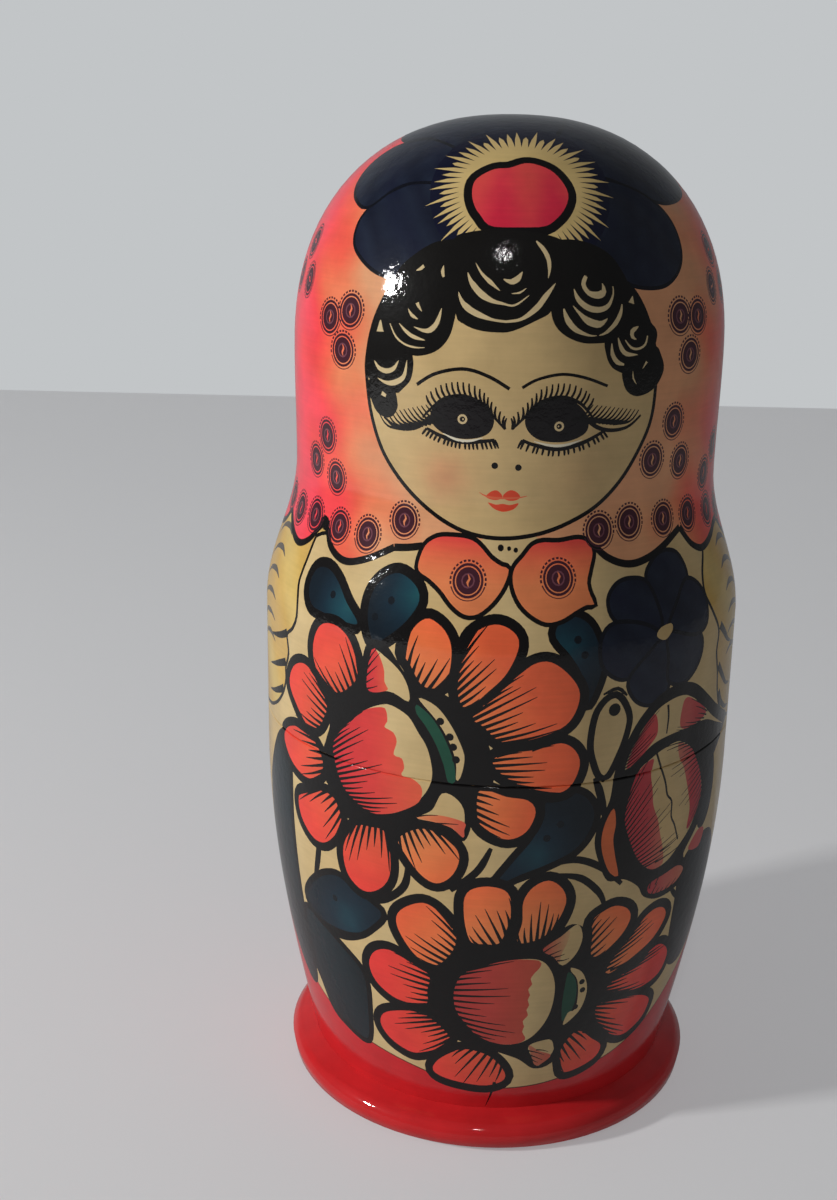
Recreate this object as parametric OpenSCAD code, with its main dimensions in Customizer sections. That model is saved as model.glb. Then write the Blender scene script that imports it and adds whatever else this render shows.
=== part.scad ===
// Nesting doll: seven turned limewood dolls, one inside the other.
// The six larger dolls are hollow and part at the waist into two halves.
// Each lower half carries a thin lip that plugs into its upper half.
// The seventh and smallest doll is one solid turning.
// Sizes are in millimetres, +Z is up, and the set stands at the origin.

/* [Outside of the largest doll] */
// Height from the table to the crown
doll_h = 240; // [232:1:250]
// Diameter across the rounded rim of the foot
foot_d = 105.2; // [100:0.2:112]
// Height of the rounded rim of the foot
foot_h = 7.6; // [6:0.1:8.4]
// Diameter of the crease where the body meets the foot
ankle_d = 93; // [90:0.5:97]
// Height of that crease
ankle_z = 9; // [8.6:0.1:10.4]
// Diameter of the body at its widest
belly_d = 115.8; // [111:0.2:124]
// Height at which the body reaches its full width
belly_z = 90.6; // [80:0.2:92]
// Height of the joint between the two halves
seam_z = 98.8; // [95:0.2:104]
// Height at which the shoulders begin to draw in
shoulder_z = 126; // [121:0.5:132]
// Diameter of the neck
neck_d = 100.5; // [96:0.5:101]
// Height at which the neck is reached
neck_z = 161; // [154:0.5:168]
// Diameter of the head at its widest
head_d = 101.2; // [100.6:0.2:104]
// Height at which the head starts to round over
head_z = 187; // [180:0.5:194]
// Fullness of the crown along its height, 2 is a plain ellipse
crown_rise = 2.29; // [2:0.01:2.6]
// Fullness of the crown across its width, 2 is a plain ellipse
crown_swell = 2.27; // [2:0.01:2.6]

/* [Walls] */
// Wall of the largest doll, as a share of the largest belly's radius
first_wall_share = 0.1; // [0.09:0.001:0.11]
// Wall of the smallest hollow doll, as a share of the largest belly's radius
last_wall_share = 0.059; // [0.052:0.001:0.066]
// Floor of the largest doll, as a share of the set's height
first_floor_share = 0.046; // [0.043:0.0005:0.054]
// Floor of the smallest hollow doll, as a share of the set's height
last_floor_share = 0.025; // [0.0215:0.0005:0.029]
// Crown of the largest doll, as a share of the set's height
first_crown_share = 0.0625; // [0.054:0.0005:0.07]
// Crown of the smallest hollow doll, as a share of the set's height
last_crown_share = 0.0375; // [0.032:0.0005:0.042]
// Radius of the turned corner inside the largest doll
corner_first = 4; // [2:0.2:5]
// Radius of the turned corner inside the smallest hollow doll
corner_last = 2; // [1:0.1:2.6]

/* [Nesting] */
// Play around the second doll inside the largest one, as a share of the largest belly's radius
first_play_share = 0.0655; // [0.052:0.0005:0.076]
// Play around the smallest doll inside the sixth, as a share of the largest belly's radius
last_play_share = 0.0345; // [0.024:0.0005:0.042]
// Free height over the second doll, as a share of the set's height
first_headroom_share = 0.054; // [0.042:0.0005:0.062]
// Free height over the smallest doll, as a share of the set's height
last_headroom_share = 0.0335; // [0.025:0.0005:0.038]
// Flare of the foot on the second doll
flare_first = 1.1; // [0.6:0.1:1.6]
// Flare of the foot on the smallest doll
flare_last = 0.5; // [0.3:0.05:0.8]
// Least play around a foot, as a share of the play at the belly
foot_play_share = 0.5; // [0.4:0.05:0.6]

/* [Lip and socket] */
// Height of the lip on the largest lower half, as a share of the set's height
first_lip_h_share = 0.0415; // [0.034:0.0005:0.05]
// Height of the lip on the smallest lower half, as a share of the set's height
last_lip_h_share = 0.023; // [0.0185:0.0005:0.0265]
// Thickness of the lip as a share of the wall
lip_share = 0.5; // [0.4:0.02:0.6]
// Chamfer on the lip as a share of its thickness
lip_chamfer_share = 0.3; // [0.1:0.05:0.5]
// Radial play of the lip in its socket on the largest doll
lip_play_first = 0.25; // [0.15:0.01:0.4]
// Radial play of the lip in its socket on the smallest hollow doll
lip_play_last = 0.18; // [0.1:0.01:0.3]
// Space over the lip inside the socket on the largest doll
lip_top_gap_first = 0.6; // [0.4:0.05:1]
// Space over the lip inside the socket on the smallest hollow doll
lip_top_gap_last = 0.4; // [0.3:0.05:0.6]

/* [Hidden] */
// The number of hollow dolls
hollow_count = 6;
// Facets of a preview turning
turn_fn = 96;
// Straight steps along each stretch of the profile
rim_steps = 10;
body_steps = 14;
shoulder_steps = 14;
neck_steps = 5;
dome_steps = 16;
corner_steps = 5;
// The rim turns over this far before the slope up to the crease
rim_end_angle = 70;
upper_colour = "#e8693a";
lower_colour = "#ead9a8";
solid_colour = "#d8482c";

// A size that runs evenly from the largest doll to the smallest hollow one
function along(first, last, k) = first + (last - first) * (k - 1) / (hollow_count - 1);
function wall(k) = belly_d / 2 * along(first_wall_share, last_wall_share, k);
function play(k) = belly_d / 2 * along(first_play_share, last_play_share, k);
function floor_t(k) = doll_h * along(first_floor_share, last_floor_share, k);
function crown_t(k) = doll_h * along(first_crown_share, last_crown_share, k);
function headroom(k) = doll_h * along(first_headroom_share, last_headroom_share, k);
function lip_h(k) = doll_h * along(first_lip_h_share, last_lip_h_share, k);
function corner(k) = along(corner_first, corner_last, k);
function lip_play(k) = along(lip_play_first, lip_play_last, k);
function lip_top_gap(k) = along(lip_top_gap_first, lip_top_gap_last, k);

// Each doll is as large as the one around it leaves room for
function height(k) = k == 1 ? doll_h : height(k - 1) - floor_t(k - 1) - crown_t(k - 1) - headroom(k - 1);
function belly_r(k) = k == 1 ? belly_d / 2 : belly_r(k - 1) - wall(k - 1) - play(k - 1);
function stand_z(k) = k == 1 ? 0 : stand_z(k - 1) + floor_t(k - 1);
function tall(k) = height(k) / doll_h;
function wide(k) = belly_r(k) / (belly_d / 2);
// Share of the outside radius that is hollow
function hollow(k) = 1 - wall(k) / belly_r(k);

function ankle_r(k) = wide(k) * ankle_d / 2;
function neck_r(k) = wide(k) * neck_d / 2;
function own_head_r(k) = wide(k) * head_d / 2;
function head_room_r(k) = hollow(k - 1) * neck_r(k - 1) - play(k - 1) / 2;
function head_r(k) = k == 1 ? own_head_r(k) : min(own_head_r(k), head_room_r(k));
function flare(k) = along(flare_first, flare_last, k - 1);
function foot_room_r(k) = hollow(k - 1) * body_r(k - 1, floor_t(k - 1)) - foot_play_share * play(k - 1);
function foot_r(k) = k == 1 ? foot_d / 2 : min(ankle_r(k) + flare(k), foot_room_r(k));
function rim_r(k) = tall(k) * foot_h / 2;
function crease_z(k) = tall(k) * ankle_z;
function full_z(k) = tall(k) * belly_z;
function waist_z(k) = tall(k) * seam_z;

// Body radius at a height between the crease and the belly
function body_r(k, z) =
    ankle_r(k) + (belly_r(k) - ankle_r(k)) * sin(90 * (z - crease_z(k)) / (full_z(k) - crease_z(k)));
// Easing from 0 to 1 with level ends
function ease(t) = (1 - cos(180 * t)) / 2;

// Outline of the foot, from the axis out and over the rim to the crease
function rim_turn(k) =
    foot_r(k) - ankle_r(k) > rim_r(k) ? rim_end_angle : acos(1 - (foot_r(k) - ankle_r(k)) / rim_r(k));
function foot_line(k) = concat(
    [[0, 0]],
    [for (i = [0 : rim_steps])
        let (a = -90 + (90 + rim_turn(k)) * i / rim_steps)
        [foot_r(k) - rim_r(k) + rim_r(k) * cos(a), rim_r(k) + rim_r(k) * sin(a)]]
);
// Outline of the body, from the crease up to its full width
function body_line(k) = [
    for (i = [0 : body_steps])
        let (z = crease_z(k) + (full_z(k) - crease_z(k)) * i / body_steps)
        [body_r(k, z), z]
];
// Outline of the shoulders, from the full width in to the neck
function shoulder_line(k, share) = [
    for (i = [0 : shoulder_steps])
        let (t = i / shoulder_steps)
        [
            share * (belly_r(k) + (neck_r(k) - belly_r(k)) * ease(t)),
            tall(k) * (shoulder_z + (neck_z - shoulder_z) * t)
        ]
];
// Outline of the cheeks, from the neck out to the widest part of the head
function cheek_line(k) = [
    for (i = [1 : neck_steps])
        let (t = i / neck_steps)
        [neck_r(k) + (head_r(k) - neck_r(k)) * ease(t), tall(k) * (neck_z + (head_z - neck_z) * t)]
];
// Outline of a rounded crown of a given radius and top height
function dome_line(k, r, top) = [
    for (i = [1 : dome_steps])
        let (a = 90 * i / dome_steps, low = tall(k) * head_z)
        [
            i == dome_steps ? 0 : r * pow(cos(a), 2 / crown_swell),
            low + (top - low) * pow(sin(a), 2 / crown_rise)
        ]
];
function turned_over(points) = [for (i = [len(points) - 1 : -1 : 0]) points[i]];
function head_line(k) = concat(shoulder_line(k, 1), cheek_line(k), dome_line(k, head_r(k), height(k)));

// The hollow of a lower half, from the lip down to the floor
function wall_low_z(k) = floor_t(k) + corner(k);
function wall_low_r(k) = hollow(k) * body_r(k, wall_low_z(k));
function bowl_line(k) = concat(
    [for (i = [0 : body_steps])
        let (z = full_z(k) + (wall_low_z(k) - full_z(k)) * i / body_steps)
        [hollow(k) * body_r(k, z), z]],
    [for (i = [1 : corner_steps])
        let (a = 90 * i / corner_steps)
        [wall_low_r(k) - corner(k) * (1 - cos(a)), wall_low_z(k) - corner(k) * sin(a)]],
    [[0, floor_t(k)]]
);
// The lip stands on the wall of the lower half, and the socket takes it with a little play
function bore_r(k) = hollow(k) * belly_r(k);
function lip_t(k) = lip_share * wall(k);
function lip_r(k) = bore_r(k) + lip_t(k);
function lip_top(k) = waist_z(k) + lip_h(k);
function lip_cut(k) = lip_chamfer_share * lip_t(k);
function socket_r(k) = lip_r(k) + lip_play(k);
function socket_top(k) = lip_top(k) + lip_top_gap(k);
function lip_line(k) = [
    [belly_r(k), waist_z(k)],
    [lip_r(k), waist_z(k)],
    [lip_r(k), lip_top(k) - lip_cut(k)],
    [lip_r(k) - lip_cut(k), lip_top(k)],
    [bore_r(k), lip_top(k)]
];
function cap_line(k) = concat(
    turned_over(dome_line(k, hollow(k) * neck_r(k), height(k) - crown_t(k))),
    [[hollow(k) * neck_r(k), tall(k) * head_z]],
    turned_over(shoulder_line(k, hollow(k))),
    [[bore_r(k), socket_top(k)], [socket_r(k), socket_top(k)], [socket_r(k), waist_z(k)]]
);

module turned(k, points) {
    translate([0, 0, stand_z(k)])
        rotate_extrude($fn = turn_fn)
            polygon(points);
}
module lower_half(k) {
    turned(k, concat(foot_line(k), body_line(k), lip_line(k), bowl_line(k)));
}
module upper_half(k) {
    turned(k, concat([[belly_r(k), waist_z(k)]], head_line(k), cap_line(k)));
}

// The largest doll, the one that is seen when the set is closed
module doll_1_lower_half() {
    color(lower_colour) lower_half(1);
}
module doll_1_upper_half() {
    color(upper_colour) upper_half(1);
}
// The second doll stands on the floor of the first
module doll_2_lower_half() {
    color(lower_colour) lower_half(2);
}
module doll_2_upper_half() {
    color(upper_colour) upper_half(2);
}
// The third doll
module doll_3_lower_half() {
    color(lower_colour) lower_half(3);
}
module doll_3_upper_half() {
    color(upper_colour) upper_half(3);
}
// The fourth doll
module doll_4_lower_half() {
    color(lower_colour) lower_half(4);
}
module doll_4_upper_half() {
    color(upper_colour) upper_half(4);
}
// The fifth doll
module doll_5_lower_half() {
    color(lower_colour) lower_half(5);
}
module doll_5_upper_half() {
    color(upper_colour) upper_half(5);
}
// The sixth doll, the smallest that opens
module doll_6_lower_half() {
    color(lower_colour) lower_half(6);
}
module doll_6_upper_half() {
    color(upper_colour) upper_half(6);
}
// The smallest doll is turned in one piece
module doll_7_solid() {
    color(solid_colour) turned(7, concat(foot_line(7), body_line(7), head_line(7)));
}

doll_1_lower_half();
doll_1_upper_half();
doll_2_lower_half();
doll_2_upper_half();
doll_3_lower_half();
doll_3_upper_half();
doll_4_lower_half();
doll_4_upper_half();
doll_5_lower_half();
doll_5_upper_half();
doll_6_lower_half();
doll_6_upper_half();
doll_7_solid();
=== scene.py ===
import math
from types import SimpleNamespace

import bpy
import numpy as np
from mathutils import Matrix, Vector
from mathutils.geometry import delaunay_2d_cdt


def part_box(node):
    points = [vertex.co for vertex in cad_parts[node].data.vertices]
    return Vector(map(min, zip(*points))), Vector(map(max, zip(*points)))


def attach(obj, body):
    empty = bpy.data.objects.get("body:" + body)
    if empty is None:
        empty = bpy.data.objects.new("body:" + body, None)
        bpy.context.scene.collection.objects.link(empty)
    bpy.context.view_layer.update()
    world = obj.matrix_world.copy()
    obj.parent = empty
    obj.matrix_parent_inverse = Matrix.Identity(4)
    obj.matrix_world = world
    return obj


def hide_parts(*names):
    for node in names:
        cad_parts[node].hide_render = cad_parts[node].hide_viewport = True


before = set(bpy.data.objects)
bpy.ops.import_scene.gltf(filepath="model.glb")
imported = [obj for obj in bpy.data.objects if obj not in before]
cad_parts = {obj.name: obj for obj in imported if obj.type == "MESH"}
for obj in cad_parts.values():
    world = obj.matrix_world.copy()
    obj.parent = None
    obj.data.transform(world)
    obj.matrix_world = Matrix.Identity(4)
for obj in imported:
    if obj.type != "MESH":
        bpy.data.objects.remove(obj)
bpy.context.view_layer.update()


# =====================================================================================
# Largest doll, lower half. Body and flared foot are turned from one piece of lime, with
# a thin lip on top and a hollow inside. Outside it is painted by hand and varnished.
# =====================================================================================
SET_HEIGHT, SET_BELLY = 240.0, 57.9  # the largest doll's height and belly radius, mm
# heights on it, mm: the waist, and where the shoulder, the cheek and the dome begin
WAIST, SHOULDER, CHEEK, DOME = 98.8, 126, 161, 187


def turning(k):
    """Sizes of doll k in mm: its place and reach from its solids, the rest in proportion."""
    foot_node = "doll_7_solid" if k == 7 else f"doll_{k}_lower_half"
    head_node = "doll_7_solid" if k == 7 else f"doll_{k}_upper_half"
    low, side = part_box(foot_node)
    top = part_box(head_node)[1]
    t = SimpleNamespace(k=k, stand=low.z * 1e3, h=(top.z - low.z) * 1e3, belly=side.x * 1e3)
    t.tall, t.wide = t.h / SET_HEIGHT, t.belly / SET_BELLY
    run = (k - 1) / 5
    t.wall = SET_BELLY * (0.1 - 0.041 * run)
    t.floor = SET_HEIGHT * (0.046 - 0.021 * run)
    t.crown = SET_HEIGHT * (0.0625 - 0.025 * run)
    t.lip_h = SET_HEIGHT * (0.0415 - 0.0185 * run)
    t.corner, t.lip_play, t.lip_gap = 4 - 2 * run, 0.25 - 0.07 * run, 0.6 - 0.2 * run
    t.hollow = 1 - t.wall / t.belly
    t.ankle, t.neck, t.head = 46.5 * t.wide, 50.25 * t.wide, 50.6 * t.wide
    t.foot = 52.6 if k == 1 else t.ankle + 1.1 - 0.6 * (k - 2) / 5
    t.rim = 3.8 * t.tall
    t.ankle_z, t.full_z, t.waist = 9 * t.tall, 90.6 * t.tall, WAIST * t.tall
    t.bore = t.hollow * t.belly
    t.lip = t.bore + t.wall / 2
    t.socket = t.lip + t.lip_play
    t.edge = 0.27 * t.tall + 0.08  # the rounding that shows as the line round the waist
    return t


def ease(f):
    return (1 - np.cos(np.pi * f)) / 2


def body_radius(t, z):
    quarter = np.pi / 2 * (z - t.ankle_z) / (t.full_z - t.ankle_z)
    return t.ankle + (t.belly - t.ankle) * np.sin(quarter)


def straight(a, b, step=0.5):
    """Points along a straight stretch of an outline."""
    n = max(2, int(math.hypot(b[0] - a[0], b[1] - a[1]) / step) + 1)
    return np.linspace(a, b, n)


def foot_and_body(t):
    """Outside of a lower half, from the middle of the underside up to the waist."""
    flare = t.foot - t.ankle
    turn = math.radians(70) if flare > t.rim else math.acos(1 - flare / t.rim)
    a = np.linspace(-math.pi / 2, turn, 40)
    rim = np.c_[t.foot - t.rim + t.rim * np.cos(a), t.rim + t.rim * np.sin(a)]
    z = np.linspace(t.ankle_z, t.full_z, 220)
    body = np.c_[body_radius(t, z), z]
    return [straight((0, 0), rim[0]), rim, straight(rim[-1], body[0], 0.3), body]


def head_and_shoulders(t, radius=None, top=None, share=1.0):
    """Outside of an upper half, from the crown down to where the belly is full."""
    radius, top = radius or t.head, top or t.h
    low = DOME * t.tall
    a = np.radians(90 * (1 - np.linspace(0, 1, 260) ** 1.6))
    dome = np.c_[radius * np.cos(a) ** (2 / 2.27), low + (top - low) * np.sin(a) ** (2 / 2.29)]
    dome[0, 0] = 0
    f = np.linspace(1, 0, 60)[1:]
    neck = share * t.neck
    cheek = np.c_[neck + (radius - neck) * ease(f), t.tall * (CHEEK + (DOME - CHEEK) * f)]
    f = np.linspace(1, 0, 140)[1:]
    shoulder = np.c_[
        neck + (share * t.belly - neck) * (1 - ease(f)),
        t.tall * (SHOULDER + (CHEEK - SHOULDER) * f)]
    return np.vstack([dome, cheek, shoulder])


def rounded_edge(t, up):
    """The softened edge at the waist and the flat ring the two halves meet on."""
    side = 1 if up else -1
    a = np.linspace(0, math.pi / 2, 6)
    curve = np.c_[t.belly - t.edge * (1 - np.cos(a)), t.waist + side * t.edge * (1 - np.sin(a))]
    return [curve, straight(curve[-1], (t.socket if up else t.lip, t.waist), 0.6)]


def lip_and_bowl(t):
    """Inside of a lower half, from the foot of the lip to the middle of the floor."""
    top, cut = t.waist + t.lip_h, 0.3 * t.wall / 2
    low = t.floor + t.corner
    z = np.linspace(t.full_z, low, 30)
    a = np.linspace(0, math.pi / 2, 8)
    r_low = t.hollow * body_radius(t, low)
    corner = np.c_[r_low - t.corner * (1 - np.cos(a)), low - t.corner * np.sin(a)]
    bowl = np.vstack([[t.bore, top], np.c_[t.hollow * body_radius(t, z), z], corner[1:]])
    return [
        np.array([[t.lip, t.waist], [t.lip, top - cut]]),
        np.array([[t.lip, top - cut], [t.lip - cut, top]]),
        np.array([[t.lip - cut, top], [t.bore, top]]),
        bowl,
        straight(bowl[-1], (0, t.floor), 4),
    ]


def socket_and_cap(t):
    """Inside of an upper half, from the mouth of the socket up to the middle of the crown."""
    top = t.waist + t.lip_h + t.lip_gap
    cap = head_and_shoulders(t, t.hollow * t.neck, t.h - t.crown, t.hollow)[::-1]
    cap = np.vstack([[t.bore, top], cap[cap[:, 1] > top + 0.2][::9], cap[-1]])
    return [
        np.array([[t.socket, t.waist], [t.socket, top]]),
        np.array([[t.socket, top], [t.bore, top]]),
        cap,
    ]


def measured(stretches, side):
    """One outline from its stretches: length along it, radius, height and outward normal."""
    s0, parts = 0.0, []
    for pts in stretches:
        step = np.hypot(*np.diff(pts, axis=0).T)
        s = s0 + np.r_[0, np.cumsum(step)]
        d = np.gradient(pts, s, axis=0)
        n = side * np.c_[-d[:, 1], d[:, 0]] / np.hypot(*d.T)[:, None]
        parts.append(SimpleNamespace(s=s, r=pts[:, 0], z=pts[:, 1], n=n))
        s0 = s[-1]
    return parts


def linear(hex_colour):
    """An sRGB hex colour as linear red, green and blue."""
    c = np.array([int(hex_colour[i:i + 2], 16) / 255 for i in (1, 3, 5)])
    return np.where(c <= 0.04045, c / 12.92, ((c + 0.055) / 1.055) ** 2.4)


def tint(stops, along):
    """A colour that runs through several hex stops, placed by along(x, z) from 0 to 1."""
    ramp = np.array([linear(c) for c in stops])
    at = np.linspace(0, 1, len(stops))
    return lambda x, z: np.c_[tuple(np.interp(along(x, z), at, ramp[:, i]) for i in range(3))]


def node(material, kind, links=(), **settings):
    """Adds one node to a material, sets its sockets and links its inputs."""
    n = material.node_tree.nodes.new(kind)
    for name, value in settings.items():
        if hasattr(n, name):
            setattr(n, name, value)
        else:
            n.inputs[name.replace("_", " ")].default_value = value
    for name, output in links:
        material.node_tree.links.new(output, n.inputs[name])
    return n


def new_material(name):
    m = bpy.data.materials.new(name)
    m.use_nodes = True
    m.node_tree.nodes.clear()
    return m


# Lime painted with aniline dye and gouache under clear varnish: the fine lines left by the
# lathe just show through the thin colours, the dye pools a little, and the varnish gives
# small hard lights that break up on its ripples.
painted_lime = new_material("painted_limewood_varnished")
place = node(painted_lime, "ShaderNodeTexCoord")
paint = node(painted_lime, "ShaderNodeVertexColor", layer_name="paint")
# lines round the turning, 0.8 mm wide and about 16 mm long
lie = node(
    painted_lime, "ShaderNodeMapping", [("Vector", place.outputs["Object"])], Scale=(60, 60, 1250))
grain = node(
    painted_lime, "ShaderNodeTexNoise", [("Vector", lie.outputs[0])], Scale=1.0, Detail=3.0,
    Roughness=0.6)
# pools of dye about 9 mm across
pools = node(
    painted_lime, "ShaderNodeTexNoise", [("Vector", place.outputs["Object"])], Scale=110.0,
    Detail=4.0, Roughness=0.55)
grain_tone = node(
    painted_lime, "ShaderNodeMapRange", [("Value", grain.outputs["Fac"])], From_Min=0.3,
    From_Max=0.7, To_Min=0.95, To_Max=1.02)
pool_tone = node(
    painted_lime, "ShaderNodeMapRange", [("Value", pools.outputs["Fac"])], From_Min=0.3,
    From_Max=0.7, To_Min=0.89, To_Max=1.06)
tone = node(painted_lime, "ShaderNodeMath", [(0, grain_tone.outputs[0]), (1, pool_tone.outputs[0])],
            operation="MULTIPLY")
tone_colour = node(
    painted_lime, "ShaderNodeCombineColor",
    [("Red", tone.outputs[0]), ("Green", tone.outputs[0]), ("Blue", tone.outputs[0])])
colour = node(
    painted_lime, "ShaderNodeMix", [(6, paint.outputs["Color"]), (7, tone_colour.outputs[0])],
    data_type="RGBA", blend_type="MULTIPLY")
colour.inputs["Factor"].default_value = 1.0
# ripples from 2 mm down to a quarter of a millimetre, deeper where the black lies thick
ripple = node(
    painted_lime, "ShaderNodeTexNoise", [("Vector", place.outputs["Object"])], Scale=450.0,
    Detail=4.0, Roughness=0.6)
lightness = node(painted_lime, "ShaderNodeRGBToBW", [("Color", paint.outputs["Color"])])
thick = node(
    painted_lime, "ShaderNodeMapRange", [("Value", lightness.outputs[0])], From_Min=0.0,
    From_Max=0.06, To_Min=0.26, To_Max=0.07)
skin_bump = node(
    painted_lime, "ShaderNodeBump",
    [("Height", ripple.outputs["Fac"]), ("Strength", thick.outputs[0])], Distance=0.0004)
gloss = node(
    painted_lime, "ShaderNodeMapRange", [("Value", pools.outputs["Fac"])], From_Min=0.3,
    From_Max=0.7, To_Min=0.4, To_Max=0.5)
surface = node(
    painted_lime, "ShaderNodeBsdfPrincipled",
    [("Base Color", colour.outputs[2]), ("Roughness", gloss.outputs[0]),
     ("Normal", skin_bump.outputs[0]), ("Coat Normal", skin_bump.outputs[0])],
    IOR=1.5, Specular_IOR_Level=0.03, Coat_Weight=0.75, Coat_Roughness=0.06, Coat_IOR=1.5)
node(painted_lime, "ShaderNodeOutputMaterial", [("Surface", surface.outputs[0])])

# Bare lime straight from the lathe: pale, dull, with fine tool rings and long grain.
bare_lime = new_material("bare_limewood_turned")
place = node(bare_lime, "ShaderNodeTexCoord")
lie = node(
    bare_lime, "ShaderNodeMapping", [("Vector", place.outputs["Object"])], Scale=(900, 900, 30))
grain = node(
    bare_lime, "ShaderNodeTexNoise", [("Vector", lie.outputs[0])], Scale=1.0, Detail=4.0,
    Roughness=0.65)
# tool rings 1.2 mm apart
rings = node(
    bare_lime, "ShaderNodeTexWave", [("Vector", place.outputs["Object"])], wave_type="BANDS",
    bands_direction="Z", Scale=130.0, Distortion=0.6, Detail=2.0)
wood_tone = node(bare_lime, "ShaderNodeValToRGB", [("Fac", grain.outputs["Fac"])])
wood_tone.color_ramp.elements[0].position, wood_tone.color_ramp.elements[1].position = 0.3, 0.72
wood_tone.color_ramp.elements[0].color = (*linear("#b98f5c"), 1)
wood_tone.color_ramp.elements[1].color = (*linear("#e2c79a"), 1)
tool_bump = node(
    bare_lime, "ShaderNodeBump", [("Height", rings.outputs["Fac"])], Strength=0.25, Distance=0.0003)
surface = node(
    bare_lime, "ShaderNodeBsdfPrincipled",
    [("Base Color", wood_tone.outputs[0]), ("Normal", tool_bump.outputs[0])], Roughness=0.62,
    IOR=1.5)
node(bare_lime, "ShaderNodeOutputMaterial", [("Surface", surface.outputs[0])])

ROUND = 144  # facets round a turned edge


def wound_round(points, outline):
    """Which points a closed outline winds round."""
    (ax, ay), (bx, by) = outline.T, np.roll(outline, -1, 0).T
    found = []
    for some in np.array_split(points, 1 + len(points) * len(outline) // 1000000):
        x, y = some[:, :1], some[:, 1:]
        left = (bx - ax) * (y - ay) - (x - ax) * (by - ay)
        rising, falling = (ay <= y) & (by > y) & (left > 0), (ay > y) & (by <= y) & (left < 0)
        found.append(rising.sum(1) != falling.sum(1))
    return np.concatenate(found)


def even(outline, step):
    """The same closed outline with points added on its long sides."""
    sides = []
    for a, b in zip(outline, np.roll(outline, -1, 0)):
        n = max(1, int(math.ceil(math.hypot(*(b - a)) / step)))
        sides.append(a + (b - a) * (np.arange(n) / n)[:, None])
    return np.vstack(sides)


def stretches(t, upper, lower):
    """Outside and inside of a half or a whole doll, and the first bare stretch of the outside."""
    if upper and lower:  # a whole doll is one outline, from the crown to the underside
        below = [p[::-1] for p in foot_and_body(t)[::-1]]
        wall = straight((t.belly, SHOULDER * t.tall), below[0][0])[1:-1]
        outside = [np.vstack([head_and_shoulders(t), wall, below[0]]), *below[1:-1]]
        return outside, [below[-1]], len(outside)
    edge = rounded_edge(t, upper)
    if upper:
        wall = straight((t.belly, SHOULDER * t.tall), edge[0][0])[1:]
        return [np.vstack([head_and_shoulders(t), wall]), *edge], socket_and_cap(t), 2
    wall = straight((t.belly, t.full_z), edge[0][0])[1:]
    *foot, body = foot_and_body(t)
    return [*foot, np.vstack([body, wall]), *edge], lip_and_bowl(t), 5


def cut_off(outline, keep):
    """The part of a closed outline where keep is not below zero."""
    cut = []
    for i in range(len(outline)):
        a, b, ka, kb = outline[i - 1], outline[i], keep[i - 1], keep[i]
        if (ka < 0) != (kb < 0):
            cut.append(a + (b - a) * ka / (ka - kb))
        if kb >= 0:
            cut.append(b)
    return np.array(cut)


def inside_rings(parts, side, stand, ring, count):
    """Points, faces and normals of the inside, ring by ring from the last ring outside."""
    th = 2 * math.pi * np.arange(ROUND) / ROUND
    round_at = lambda r, z: np.c_[r * np.sin(th), -r * np.cos(th), np.full(ROUND, z)]
    points, faces, normals = [], [], []
    for part in parts:
        for i in range(len(part.s) - 1):
            r, z = part.r[i + 1], part.z[i + 1] + stand
            closes = r < 1e-6  # the last ring shrinks to the middle
            points.append(np.array([[0, 0, z]]) if closes else round_at(r, z))
            following = [count] * ROUND if closes else list(range(count, count + ROUND))
            count += len(points[-1])
            n0, n1 = (round_at(*n) for n in part.n[i:i + 2])
            for j in range(ROUND):
                m = (j + 1) % ROUND
                face = [ring[j], ring[m], following[m], following[j]][:3 if closes else 4]
                normal = [n0[j], n0[m], n1[m], n1[j]][:3 if closes else 4]
                faces.append(face[::-side])
                normals.append(normal[::-side])
            ring = following
    return points, faces, normals


HEAD_CHART = 50.5  # radius that the drawing of the head is laid out on, mm
CROWN_REACH = 83.4  # from the middle of the largest crown down to the dome's foot, mm


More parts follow.
